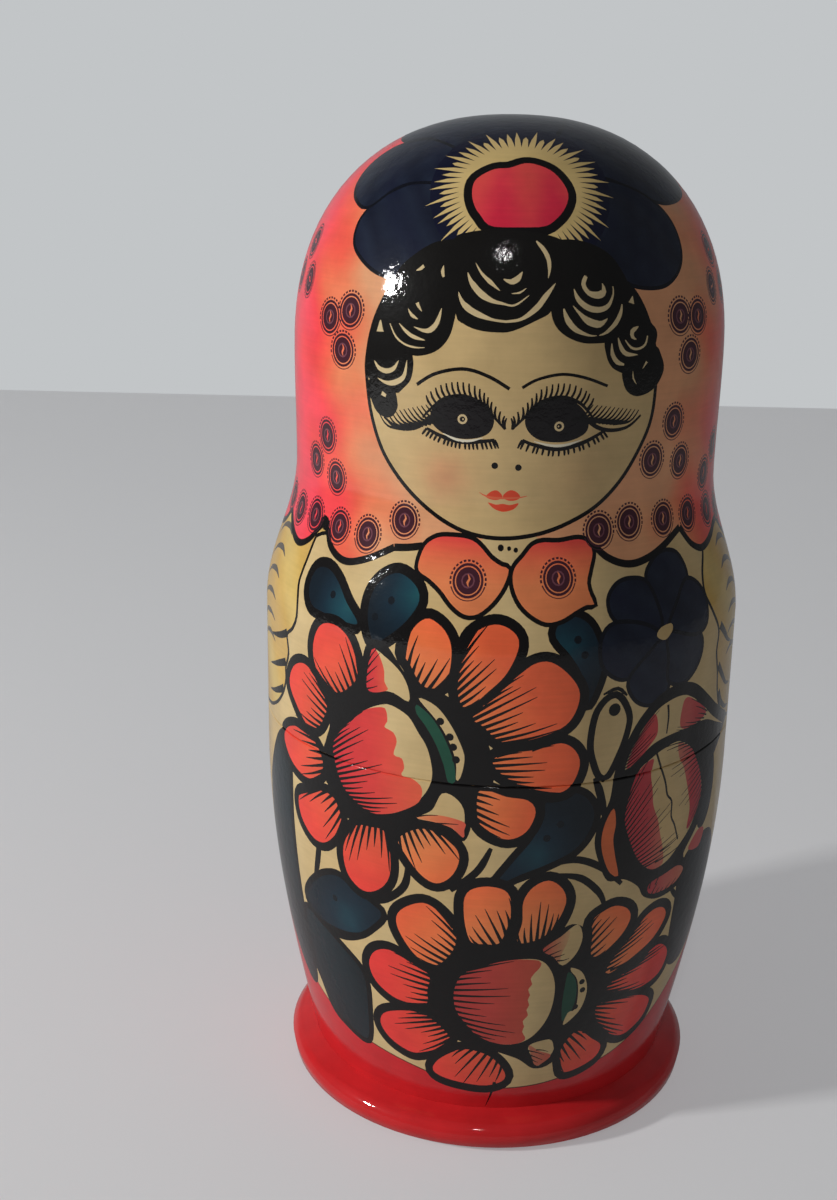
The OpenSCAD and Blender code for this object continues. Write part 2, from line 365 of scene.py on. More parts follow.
def turned_skin(name, t, upper, lower, ground, dabs):
    """One half, or a whole small doll, as a closed skin with its brushwork cut into the mesh.

    Made another way than by hand: each brush stroke needs its own edge in the surface. The
    outside is laid flat without changing its angles, the strokes are drawn there one over the
    other, and the flat drawing is wrapped round the turning again.
    """
    whole, side = upper and lower, 1 if upper else -1
    outside, inside, bare_from = stretches(t, upper, lower)
    parts = measured(outside, side)
    ends = np.array([p.s[-1] for p in parts])
    s_all, r_all, z_all = (np.concatenate([getattr(p, a) for p in parts]) for a in "srz")

    # the flat drawing's own radius at 4000 lengths along the outline, angles kept
    fine = np.unique(np.r_[np.linspace(0.3 * t.tall, s_all[-1], 4000), ends])
    r_fine = np.interp(fine, s_all, r_all)
    growth = np.r_[0, np.cumsum(np.diff(fine) * 2 / (r_fine[1:] + r_fine[:-1]))] + math.log(fine[0])
    flat = lambda s: np.where(s < fine[0], s, np.exp(np.interp(s, fine, growth)))
    unflat = lambda q: np.where(
        q < fine[0], q, np.interp(np.log(np.maximum(q, 1e-9)), growth, fine))

    painted = parts[0] if upper else parts[3]  # the stretch that carries the painting
    up = np.argsort(painted.z)
    length_at = lambda z: np.interp(z, painted.z[up], painted.s[up])
    crown_scale = length_at(DOME * t.tall) / CROWN_REACH

    drawn, shapes, edges = [], [], []

    def put(s, theta):
        q = flat(np.asarray(s, float))
        pts = np.c_[q * np.sin(theta), -q * np.cos(theta)]
        first = sum(len(p) for p in drawn)
        drawn.append(pts)
        return first, pts

    # evenly spread points, with closed rings where the outline has an edge
    put([0.0], [0.0])
    spread = 3.2 * max(t.tall, 0.45)  # mm from point to point
    for part in parts:
        count = max(1, int(round((part.s[-1] - part.s[0]) / spread)))
        for i, s in enumerate(np.linspace(part.s[0], part.s[-1], count + 1)[1:]):
            closed = i == count - 1
            if not closed and s < 1.5 * t.tall:
                continue
            around = 2 * math.pi * float(np.interp(s, s_all, r_all))
            n = ROUND if closed else max(8, int(around / spread))
            shift = 0 if closed else 0.5 * (i % 2)
            first, _ = put(np.full(n, s), 2 * math.pi * (np.arange(n) + shift) / n)
            if closed:
                edges += [(first + j, first + (j + 1) % n) for j in range(n)]
                rim_first = first

    lap = 0.5  # mm that a stroke runs on past the waist, a little further than the one before
    for chart, outline, fill in dabs:
        if chart == "crown":
            s, theta = np.hypot(*outline.T) * crown_scale, np.arctan2(outline[:, 0], -outline[:, 1])
        else:
            if chart == "wall" and not whole:  # the strokes stop at the waist
                lap += 0.002
                keep = side * (outline[:, 1] - WAIST) + lap
                if keep.max() <= 0:
                    continue
                if keep.min() < 0:
                    outline = cut_off(outline, keep)
            x, z = even(outline, 2.4).T
            s = length_at(z * t.tall)
            past = side * (WAIST - z) * t.tall + (t.edge if chart == "wall" else 0)
            if not whole:  # over the rounded edge, where height no longer tells the length
                s = np.where(past > 0, s + past * 1.2, s)
            theta = x / (SET_BELLY if chart == "wall" else HEAD_CHART)
        if len(s) < 3:
            continue
        first, pts = put(s, theta)
        edges += [(first + i, first + (i + 1) % len(pts)) for i in range(len(pts))]
        shapes.append((pts, fill))

    flat_points = [Vector(p) for p in np.vstack(drawn)]
    where, _, tris, merged, *_ = delaunay_2d_cdt(flat_points, edges, [], 0, 1e-7, True)
    where, tris = np.array([v[:] for v in where]), np.array(tris)
    centre = where[tris].mean(1)
    top = np.full(len(tris), -1)
    for i, (pts, _) in enumerate(shapes):  # each triangle takes the last stroke laid over it
        near = np.flatnonzero(np.all((centre > pts.min(0)) & (centre < pts.max(0)), axis=1))
        if len(near):
            top[near[wound_round(centre[near], pts)]] = i
    s = unflat(np.hypot(*where.T))
    theta = np.arctan2(where[:, 0], -where[:, 1])
    r, z = np.interp(s, s_all, r_all), np.interp(s, s_all, z_all)
    verts = np.c_[r * np.sin(theta), -r * np.cos(theta), z + t.stand]

    # outward normals, taken from the stretch that each triangle lies on
    mid = s[tris].mean(1)
    stretch = np.minimum(np.searchsorted(ends, mid - 1e-6), len(parts) - 1)
    corner_n = np.zeros((len(tris), 3, 3))
    for i, part in enumerate(parts):
        pick = stretch == i
        at = np.clip(s[tris[pick]], part.s[0], part.s[-1])
        nr, nz = np.interp(at, part.s, part.n[:, 0]), np.interp(at, part.s, part.n[:, 1])
        th = theta[tris[pick]]
        n = np.stack([nr * np.sin(th), -nr * np.cos(th), nz], -1)
        corner_n[pick] = n / np.hypot(nr, nz)[..., None]

    # the colour of the topmost stroke at each corner
    colours = np.ones((len(tris), 3, 4))
    x_c, z_c = SET_BELLY * theta[tris], z[tris] / t.tall
    for i in np.unique(top):
        pick = top == i
        fill = ground if i < 0 else shapes[i][1]
        if callable(fill):
            colours[pick, :, :3] = fill(x_c[pick].ravel(), z_c[pick].ravel()).reshape(-1, 3, 3)
        else:
            colours[pick, :, :3] = linear(fill)
    if side < 0:
        tris, corner_n, colours = tris[:, ::-1], corner_n[:, ::-1], colours[:, ::-1]

    new_of = {j: i for i, group in enumerate(merged) for j in group}
    rim = [new_of[rim_first + j] for j in range(ROUND)]
    new_verts, quads, quad_n = inside_rings(measured(inside, side), side, t.stand, rim, len(verts))
    verts = np.vstack([verts, *new_verts]) / 1e3

    mesh = bpy.data.meshes.new(name)
    mesh.from_pydata(verts.tolist(), [], [list(f) for f in tris] + quads)
    mesh.materials.append(painted_lime)
    mesh.materials.append(bare_lime)
    underside = (stretch == 0) & (side < 0)
    bare = np.r_[(stretch >= bare_from) | underside, np.ones(len(quads), bool)]
    mesh.polygons.foreach_set("material_index", bare.astype(np.int32))
    mesh.polygons.foreach_set("use_smooth", np.ones(len(bare), bool))
    inside_colour = np.tile(np.r_[linear("#d8b988"), 1], (sum(len(q) for q in quads), 1))
    corner_colour = np.vstack([colours.reshape(-1, 4), inside_colour]).astype(np.float32)
    layer = mesh.color_attributes.new("paint", "FLOAT_COLOR", "CORNER")
    layer.data.foreach_set("color", corner_colour.ravel())
    normals = np.vstack([corner_n.reshape(-1, 3), *[np.array(n) for n in quad_n]])
    mesh.normals_split_custom_set(normals.astype(np.float32).tolist())
    doll = bpy.data.objects.new(name, mesh)
    bpy.context.scene.collection.objects.link(doll)
    return doll


def smooth(points, step=1.3, closed=True):
    """A curve through listed points."""
    p = np.array(points, float)
    n, curve = len(p), []
    for i in range(n if closed else n - 1):
        a, b, c, d = (
            p[(i + j) % n] if closed else p[min(max(i + j, 0), n - 1)] for j in (-1, 0, 1, 2))
        m = max(2, int(math.ceil(np.hypot(*(c - b)) / step)))
        f = (np.arange(m) / m)[:, None]
        curve.append(0.5 * (2 * b + (c - a) * f + (2 * a - 5 * b + 4 * c - d) * f ** 2
                            + (3 * b - a - 3 * c + d) * f ** 3))
    if not closed:
        curve.append(p[-1:])
    return np.vstack(curve)


def grown(outline, by):
    """An outline moved outwards by some millimetres."""
    d = np.roll(outline, -1, 0) - np.roll(outline, 1, 0)
    x, y = outline.T
    turn = np.sign(np.sum(x * np.roll(y, -1) - y * np.roll(x, -1)))
    return outline + by * turn * np.c_[d[:, 1], -d[:, 0]] / np.maximum(
        np.hypot(*d.T), 1e-6)[:, None]


def line(points, *widths, step=1.3):
    """A brush line through points, its width in mm given at even stations along it."""
    c = smooth(points, step, closed=False)
    d = np.gradient(c, axis=0)
    n = np.c_[-d[:, 1], d[:, 0]] / np.hypot(*d.T)[:, None]
    w = np.interp(np.linspace(0, 1, len(c)), np.linspace(0, 1, len(widths)), widths)[:, None] / 2
    return np.vstack([c + n * w, (c - n * w)[::-1]])


def disc(x, z, r, n=24):
    a = 2 * math.pi * np.arange(n) / n
    return np.c_[x + r * np.cos(a), z + r * np.sin(a)]


INK = "#0e0b0b"


def filled(points, colour, step=1.3):
    """One dab of colour inside a closed curve."""
    return [("wall", smooth(points, step), colour)]


def edged(shape, ink, colour, chart="wall"):
    """A dab of colour with a black line round it."""
    return [(chart, grown(shape, ink), INK), (chart, shape, colour)]


def hatching(shape, heart, count, reach, width):
    """Strokes set down on a petal's side next to the heart of its flower, drawn off to a point."""
    centre = shape.mean(0)
    axis = (centre - heart) / np.hypot(*(centre - heart))
    across = np.array([-axis[1], axis[0]])
    a, d = (shape - centre) @ axis, (shape - centre) @ across
    near = a < 0
    order = np.argsort(d[near])
    strokes = []
    for i in range(count):
        f = (2 * i + 1) / count - 1
        at = f * 0.92 * np.ptp(d) / 2 + (d.max() + d.min()) / 2
        base = centre + across * at + axis * (np.interp(at, d[near][order], a[near][order]) - 0.8)
        ray = (base - heart) / np.hypot(*(base - heart))
        uneven = 0.82 + 0.3 * math.sin(5.1 * i + shape[0, 0])
        tip = base + ray * reach * (1 - 0.3 * f * f) * uneven
        bend = (base + tip) / 2 + across * 0.3 * f
        strokes.append(("wall", line([base, bend, tip], width, 0.12, step=1.8), INK))
    return strokes


CREAM = tint(
    ["#d2b37c", "#d9be8a", "#d4b680"],
    lambda x, z: 0.5 + 0.35 * np.sin(x * 0.11) + 0.15 * np.sin(z * 0.13))
CORAL = ["#e0603f", "#f05a40", "#f24c3c", "#f0403a"]  # dyes, from a petal's foot to its rim
ORANGE = ["#e28e58", "#f48850", "#fb7c48", "#fb6c42"]
# painted light on the leaves: the first stops are a painted lit patch, the last is the leaf's own
# dark colour
TEAL_PAINTED_LIGHT = ["#2a6c6a", "#1b4854", "#142a38", "#101c26"]  # from a leaf's lit patch outwards
NAVY = tint(["#151a2b", "#1f2738", "#171c30"], lambda x, z: 0.5 + 0.5 * np.sin(x * 0.3 + z * 0.4))
BAND_GREEN = "#1d4f3c"
DARK_LEAF = tint(["#10181c", "#18252b"], lambda x, z: 0.5 + 0.5 * np.sin(x * 0.2 + z * 0.1))
DRESS_RED = tint(["#d02528", "#d01f2a", "#d62a38"], lambda x, z: np.clip((z - 4) / 60, 0, 1))


def from_spot(stops, spot, near, far):
    """A colour that runs through its stops with the distance from a spot."""
    away = lambda x, z: np.hypot(x - spot[0], z - spot[1])
    return tint(stops, lambda x, z: np.clip((away(x, z) - near) / (far - near), 0, 1))


def flower(heart, mass, petals, ink, share):
    """The black ground of a large flower, then its petals with their strokes."""
    dabs = [("wall", smooth(mass), INK)]
    shapes = [smooth(points) for points, _ in petals]
    dabs += [("wall", grown(shape, ink), INK) for shape in shapes]
    for shape, (_, dye) in zip(shapes, petals):
        size = np.hypot(*np.ptp(shape, axis=0))
        dabs.append(("wall", shape, from_spot(dye, heart, 16, 38)))
        dabs += hatching(
            shape, np.array(heart), max(4, int(share * size / 2.4)), 0.5 * size, 1.0 / share ** 0.5)
    return dabs


def red_side(points, heart, count, reach, width, share, stops=("#dc323c", "#e2433e", "#ec6446")):
    """The red side of a bud, with strokes drawn into it from the flower's heart."""
    shape = smooth(points, 0.9)
    x0, wide = shape[:, 0].min(), np.ptp(shape[:, 0])
    dabs = [("wall", shape, tint(stops, lambda x, z: np.clip((x - x0) / wide, 0, 1)))]
    return dabs + hatching(
        shape, np.array(heart), max(3, int(share * count)), reach, width / share ** 0.5)


def leaf(points, lit=None, ink=1.7, spots=(), near=-3):
    """A dark leaf, lighter and greener round its lit spot, which is a painted patch of light."""
    shape = smooth(points)
    dabs = edged(shape, ink, from_spot(TEAL_PAINTED_LIGHT, lit, near, 12) if lit else DARK_LEAF)
    return dabs + [("wall", disc(x, z, 0.9, 9), "#0d151d") for x, z in spots]


def leaves_and_stems():
    """What lies behind the flowers."""
    dabs = []
    for points, w in [
        ([(-46, 77), (-47.5, 70), (-49, 65.5)], 2.0),
        ([(-20, 79), (-21, 72), (-26, 67), (-31, 65)], 2.0),
        ([(-1, 84), (-4, 78), (-10, 72.5)], 1.8), ([(3, 80), (0, 76.5), (-5, 72.8)], 1.5),
        ([(10, 79), (18, 80.5), (25, 77.5), (31, 72)], 1.8),
        ([(14, 77), (20, 75.5), (25, 71), (27, 67)], 1.8),
        ([(23, 119.5), (26.5, 120.5), (29, 118.5)], 0.9),
        ([(-52, 53.5), (-42, 51.5), (-33, 55), (-26, 62)], 1.6),
        ([(22, 100), (23.5, 96), (25, 90)], 2.0), ([(-6, 73.6), (0, 74.4), (8, 77)], 1.6),
        ([(48, 66), (52, 62), (56, 60)], 1.5),
    ]:
        dabs.append(("wall", line(points, 0.5 * w, w, w, 0.6 * w), INK))
    dabs += leaf([
        (-59, 92), (-62, 97), (-67, 93), (-74, 80), (-77, 64), (-75, 48), (-68, 37), (-61, 31),
        (-58, 36), (-58.5, 55), (-59, 75)])
    dabs += leaf(
        [(-51.6, 137), (-50.4, 141), (-46.4, 142), (-42.2, 140.2), (-38, 136.2), (-34, 132.4),
         (-38, 132), (-45, 132.6), (-49.4, 133.4)],
        (-37.5, 134.8), 2.2, [(-42.6, 137)])
    dabs += leaf(
        [(-31.4, 134), (-31.4, 139), (-29.2, 142.6), (-25.2, 144.4), (-20.8, 142.6),
         (-19.2, 139.4), (-21.6, 135), (-25.8, 131), (-29.2, 129.2)],
        (-19.5, 141), 2.2, [(-26, 138.6), (-29.6, 134.6)])
    dabs += leaf(
        [(11.5, 134), (13, 136.6), (16.4, 137.2), (20, 134.5), (22.3, 127), (21, 121),
         (18.8, 117.5), (17.9, 124), (15, 129), (12.4, 132)],
        (14, 131), 1.7, [(16.6, 132.4), (18.2, 129)], -7)
    dabs += leaf(
        [(11, 95.5), (15, 97.2), (19.5, 96), (22.2, 92), (21.5, 87.5), (18, 83), (12, 80),
         (6, 77.6), (0.5, 75), (4, 80.6), (8, 86), (10.3, 91)],
        (9, 82), 1.7, [(14.4, 89.6), (11.4, 86.4)], -8)
    dabs += leaf(
        [(-54, 58), (-48, 65), (-41, 68.5), (-36, 67), (-30, 64.5), (-27.5, 62.5), (-30, 59),
         (-35, 55), (-42, 53.5), (-50, 54)],
        (-38, 58), 1.7, [(-42, 62)], -8)
    dabs += leaf([
        (-56, 53), (-48, 51.5), (-42.5, 49), (-36, 44.5), (-34.5, 40), (-35, 32), (-36, 25),
        (-38, 22.5), (-45, 24.5), (-50, 27), (-53, 33), (-56, 40)])
    dabs += leaf([
        (53, 70), (60, 74), (68, 72), (75, 62), (74, 50), (66, 41), (57, 42), (54, 50), (53, 62)])
    dabs += leaf([(57, 101), (61, 98), (63.5, 90), (62.5, 82), (59.5, 79), (58, 84), (58.5, 92)])
    return dabs


def left_flower(share):
    """The large flower at the upper left, with two small buds, a green band and its own bud."""
    coral_petals = [
        [(-41, 130.7), (-37, 129.3), (-34.6, 126), (-33.5, 120.5), (-36, 117), (-39.5, 115),
         (-43.4, 116.5), (-46.8, 119.3), (-47.7, 124.2), (-45.3, 129.4)],
        [(-52, 118.6), (-48, 117.3), (-43, 111.5), (-44, 107.5), (-46.2, 104.6), (-49.8, 103.8),
         (-54.7, 107.3), (-58.4, 111.8), (-56.4, 116.4)],
        [(-54.5, 102), (-47.5, 100.8), (-44.3, 96.5), (-45.7, 92.7), (-50.6, 90.6), (-57.5, 92.2),
         (-61.8, 96.4), (-60.2, 99.8)],
        [(-33.6, 84), (-29.5, 84.7), (-26, 84.5), (-24.6, 79), (-25, 73), (-28, 69),
         (-32.4, 67.4), (-36.6, 70), (-38, 75), (-37, 79.6)],
        [(-41.6, 89.2), (-45.5, 89), (-49.2, 87.4), (-53.6, 85.5), (-54.5, 82.4), (-52.8, 78.6),
         (-48.5, 75.7), (-44, 76.2), (-40, 80), (-38.3, 84), (-39.6, 87.6)],
    ]
    orange_petals = [
        [(-16.3, 136), (-12.6, 133.8), (-10.9, 129.8), (-11.6, 123.5), (-14.5, 120.8),
         (-17.6, 121.4), (-20, 125.3), (-21.7, 127.8), (-20.9, 131.4), (-19, 134.6)],
        [(-1.8, 135.8), (2.2, 134.5), (3.6, 131.4), (1.2, 125.4), (-2.5, 121.2), (-7.3, 117),
         (-9.3, 120.6), (-8.4, 128), (-6.5, 133.4)],
        [(9.6, 128), (14.2, 125.3), (17.4, 120.2), (15.3, 113.9), (9, 110.7), (1, 109.4),
         (-3.6, 113), (-5.8, 115), (-1, 120.4), (4.6, 126)],
        [(13.6, 109), (17, 107), (18.2, 103.4), (16.2, 98.6), (12.4, 97.2), (5.8, 98.9),
         (-0.2, 102.8), (-1, 105.5), (3, 107), (8, 107.7)],
        [(-3.2, 98.2), (2, 96.6), (6.8, 95.7), (8.6, 92.8), (6.7, 88.2), (2.8, 86.3),
         (-1.7, 87.8), (-4, 90.6), (-4.4, 96)],
        [(-22.4, 83.6), (-17.4, 87), (-12, 86.3), (-8.6, 83), (-8.2, 79.8), (-10, 76),
         (-13.3, 73.9), (-17, 75.5), (-21, 80.3)],
    ]
    heart_mass = [
        (-46, 118), (-40, 114.5), (-34, 117), (-31, 128.4), (-26, 129), (-20, 122), (-14, 120.5),
        (-8, 117), (-4, 112.5), (-2, 108), (-1, 104), (-1, 100), (-4, 97), (-5, 92), (-7, 85.4),
        (-12, 87), (-18, 88.5), (-24, 85), (-26, 85), (-36, 85), (-38, 88), (-43, 92), (-45, 97),
        (-43, 103), (-42, 108),
    ]
    petals = [(p, CORAL) for p in coral_petals] + [(p, ORANGE) for p in orange_petals]
    dabs = flower((-27, 102), heart_mass, petals, 2.2, share)
    # two small buds, the green band and the cream crescent with its dots
    dabs += filled(
        [(-29.3, 127.2), (-26.5, 126.5), (-22.5, 123.5), (-20.5, 120), (-20.4, 116.9),
         (-24, 118.3), (-27.5, 118.3), (-30.5, 118.2), (-30.5, 121)],
        CREAM)
    dabs += red_side(
        [(-29.7, 127.2), (-28, 126.8), (-26.5, 123.5), (-26.3, 120.5), (-25.6, 118.6),
         (-30.8, 118)],
        (-36, 116), 8, 6, 0.5, share)
    dabs += filled(
        [(-12.3, 96.3), (-9.5, 95.8), (-7.3, 93), (-7.1, 88), (-7.3, 86.2), (-10, 88.3),
         (-14, 89.2), (-18, 89.6), (-14.5, 92)],
        CREAM)
    dabs += red_side(
        [(-7.2, 90), (-7.1, 88), (-7.3, 86.2), (-10, 88.3), (-14, 89.2), (-18, 89.6), (-13, 91)],
        (-26, 88), 4, 6, 0.45, share, ("#e8925e", "#e5784f", "#dd5c48"))
    dabs += filled(
        [(-18.5, 116.5), (-15, 114), (-12, 109.5), (-9.8, 104), (-9.4, 99.5), (-11, 99.3),
         (-12, 103), (-14, 108), (-16.5, 112), (-18.5, 114.5)],
        BAND_GREEN)
    dabs += filled(
        [(-18, 118), (-14, 116.7), (-10.5, 112.5), (-7.8, 107), (-7.5, 104), (-8.3, 100.5),
         (-9.2, 100), (-9.3, 104), (-11, 109), (-14, 113.6)],
        CREAM)
    dabs += [
        ("wall", disc(x, z, 0.9, 10), INK)
        for x, z in [(-13, 113.3), (-10.8, 109.9), (-10, 107.6), (-9.3, 104.7)]
    ]
    # the bud in the middle, whose red side runs along its left edge
    left_edge = [
        (-21.5, 90.7), (-25.5, 89), (-29.5, 88.3), (-33, 89.5), (-37, 92), (-39, 95),
        (-40.3, 98.5), (-40.8, 101), (-40.3, 103.5), (-38.5, 106), (-35, 109.5), (-31, 113),
    ]
    bud = left_edge[8:] + [
        (-27, 115), (-24.5, 115.3), (-20.5, 113.5), (-18, 110), (-15.8, 106.5),
        (-14.6, 101), (-15.5, 97), (-18, 93.5)] + left_edge[:8]
    wavy = [
        (-25.8, 113.8), (-25.5, 111.3), (-26.2, 109.9), (-24, 109), (-23.1, 107), (-23.8, 103.8),
        (-21.8, 103.2), (-21.2, 101), (-21.8, 99.2), (-18.8, 98.6), (-16.9, 96.8), (-17.6, 93.5),
    ]
    dabs += edged(smooth(bud), 2.0, CREAM)
    dabs += red_side(wavy + left_edge + [(-27, 114.4)], (-64, 84), 20, 13, 0.8, share)
    return dabs


def low_flower(share):
    """The large flower below, made like the other one."""
    petals = [
        [(-16.5, 68.2), (-11.8, 65.6), (-8.6, 60), (-10.5, 54.6), (-14.5, 51.4), (-19.5, 54),
         (-23.4, 60.5), (-22.3, 65)],
        [(-26, 53), (-20, 51), (-15.5, 48.3), (-16.2, 43.6), (-16.4, 40), (-21, 38.9),
         (-26.3, 39.5), (-31, 42.6), (-32.5, 47), (-30.4, 51.2)],
        [(-20, 36.7), (-15, 35.2), (-10.6, 30.6), (-13.5, 27), (-18.5, 24.4), (-22.6, 23.6),
         (-28.5, 26), (-31.1, 30), (-28.6, 34)],
        [(-6.6, 27.5), (0, 26), (4.2, 21.8), (4.8, 18.4), (0, 16.4), (-8, 16.8), (-14, 18),
         (-15.8, 20.2), (-12.4, 24.6)],
        [(-0.6, 74.3), (3.1, 72.8), (4.2, 68), (3, 62.5), (1.4, 59.2), (-2, 59), (-5, 59.3),
         (-6.6, 64.5), (-6.7, 71), (-4.6, 73.6)],
        [(12.4, 75.7), (15.7, 73.4), (16.9, 69.5), (15, 64), (11.3, 60.4), (6, 59.6), (6.8, 65),
         (6.8, 70.5), (8.9, 74.2)],
        [(30, 66.3), (33.8, 64.6), (35.2, 61.5), (33, 57.4), (27.8, 53.4), (25, 54), (24.6, 59.5),
         (24.2, 63.5), (26.6, 65.4)],
        [(44, 61.6), (47.2, 60.4), (48.4, 57.5), (45, 53), (38.5, 49.8), (31.2, 47), (30.4, 49),
         (33.6, 53.6), (38, 58), (40.6, 60.6)],
        [(47, 49.8), (51.5, 48), (54, 44.4), (52, 40), (45, 38.7), (38, 39.6), (31.6, 42),
         (33, 44.2), (40, 46.6)],
        [(29.5, 38.2), (37.5, 37.8), (45, 36), (49.8, 33.2), (50.4, 30.6), (48.4, 27.4),
         (42, 25.2), (36, 27.4), (30.6, 32.4)],
        [(24.5, 31.4), (30, 27.6), (33.5, 24.6), (32.6, 21.4), (28, 19.4), (22.6, 18.8), (21, 22),
         (20.6, 27)],
    ]
    dyes = [ORANGE, CORAL, CORAL, CORAL, ORANGE, ORANGE, ORANGE, ORANGE, CORAL, CORAL, CORAL]
    heart_mass = [
        (-17, 57), (-9, 60), (0, 60.5), (6, 60.5), (12, 60), (19, 63.5), (24, 60), (26, 54),
        (31, 50), (31.5, 44), (31, 38), (28, 32), (22, 28), (18, 22.5), (13, 21.5), (8, 25),
        (0, 28), (-8, 30), (-13, 33), (-17, 38), (-18, 48),
    ]
    dabs = flower((10, 43), heart_mass, list(zip(petals, dyes)), 2.4, share)
    dabs += filled(
        [(12.2, 57.2), (16.5, 60.5), (20.3, 63.2), (22, 59.5), (20.8, 55), (17.6, 52.2), (15, 55)],
        CREAM)
    dabs += red_side(
        [(12.2, 57.2), (16.5, 60.5), (18.5, 61.8), (18.2, 58.6), (17, 55.4), (16.6, 53), (15, 55)],
        (7, 53), 5, 5.5, 0.5, share, ("#b9463c", "#c47a58", "#d0a878"))
    dabs += filled(
        [(19.4, 50), (21.6, 47.5), (22.4, 43), (21.8, 38.5), (19.6, 35.4), (18.8, 40), (18.9, 46)],
        BAND_GREEN)
    dabs += filled(
        [(20, 51.2), (23, 49.5), (25, 45.5), (25.2, 41.5), (23.8, 37.5), (20, 34.2), (20.8, 37.8),
         (22.7, 38.5), (22.9, 43), (22, 47.5), (20.2, 50)],
        CREAM, 0.9)
    dabs += [("wall", disc(x, z, 0.8, 10), INK) for x, z in [(23.5, 46.5), (24, 44), (22.7, 39.2)]]
    dabs += filled(
        [(11, 29), (16.5, 30.3), (18, 28), (18, 26), (15.5, 23), (13.5, 22.3), (12, 25.5)], CREAM)
    dabs += red_side(
        [(17.6, 25.2), (15.5, 23), (13.5, 22.3), (12.2, 25), (11, 29), (14, 27)],
        (4, 30), 5, 5, 0.45, share, ("#c87a5c", "#cf5f4a"))
    left_edge = [
        (7, 29.7), (2, 29.9), (-3, 32), (-6.2, 35.5), (-8.6, 39), (-9.3, 43.2), (-8.6, 47),
        (-7, 50), (-4, 51.8), (0, 53.6), (6, 54.8),
    ]
    bud = left_edge[7:] + [
        (11.5, 54.4), (14.5, 51.5), (16.2, 46.5), (16, 40), (14.2, 35), (11, 31.3)] + left_edge[:7]
    wavy = [
        (11.5, 54.2), (12, 52.5), (10.5, 50.5), (9.8, 49), (10.3, 47.6), (9.4, 46), (10, 44.4),
        (9.5, 43), (10, 41.4), (9.4, 40), (9.9, 38.4), (8.7, 36.6), (9.2, 35), (8.8, 33.4),
        (9.8, 31),
    ]
    reds = ("#bd3c3a", "#c1463c", "#ca5540")
    dabs += edged(smooth(bud), 2.0, CREAM)
    dabs += red_side(wavy + left_edge, (-40, 42), 15, 14, 0.85, share, reds)
    return dabs


def round_flower():
    """The dark round flower at the upper right and the cream bud below it."""
    dabs = []
    for points in [
        [(35.5, 142.8), (38, 146.5), (42, 148.2), (47, 147.2), (49.3, 143), (47.5, 139),
         (41, 133), (38, 134)],
        [(24.5, 140), (27, 143), (31, 143.8), (35.5, 142.4), (38, 136), (37.5, 132.5),
         (31, 133.5), (25.6, 136)],
        [(25.5, 135), (22.3, 132), (22.4, 126.5), (26, 123), (30, 122.8), (35, 126), (38, 130.5),
         (33, 134)],
        [(29.3, 122), (31, 117.5), (35, 115.3), (39.4, 116.4), (41, 119.5), (41, 125), (39, 130),
         (34, 127)],
        [(41, 119.8), (46, 118.3), (50.6, 120.8), (52.7, 125), (51, 129), (44, 131.5),
         (40, 130.5), (40.5, 125)],
        [(48.5, 141.2), (53, 139.5), (55.3, 135.5), (54.5, 130.5), (50, 129), (43, 131),
         (40.5, 132.5), (44, 137)],
    ]:
        shape = smooth(points)
        dabs += [("wall", grown(shape, 0.7), "#10121c"), ("wall", grown(shape, -0.25), NAVY)]
    dabs += filled(
        [(36.6, 131.1), (38, 132.6), (41.2, 133), (41.5, 131.5), (39.5, 129.8), (37.8, 130)],
        CREAM, 0.7)
    shape = smooth([
        (21.3, 109), (22.5, 115.5), (26, 118.3), (29, 114), (28.8, 110), (27, 105), (24.2, 100.3),
        (22, 104.5)])
    dabs += edged(shape, 1.7, CREAM) + [("wall", disc(26, 115.6, 1.5, 14), INK)]
    return dabs


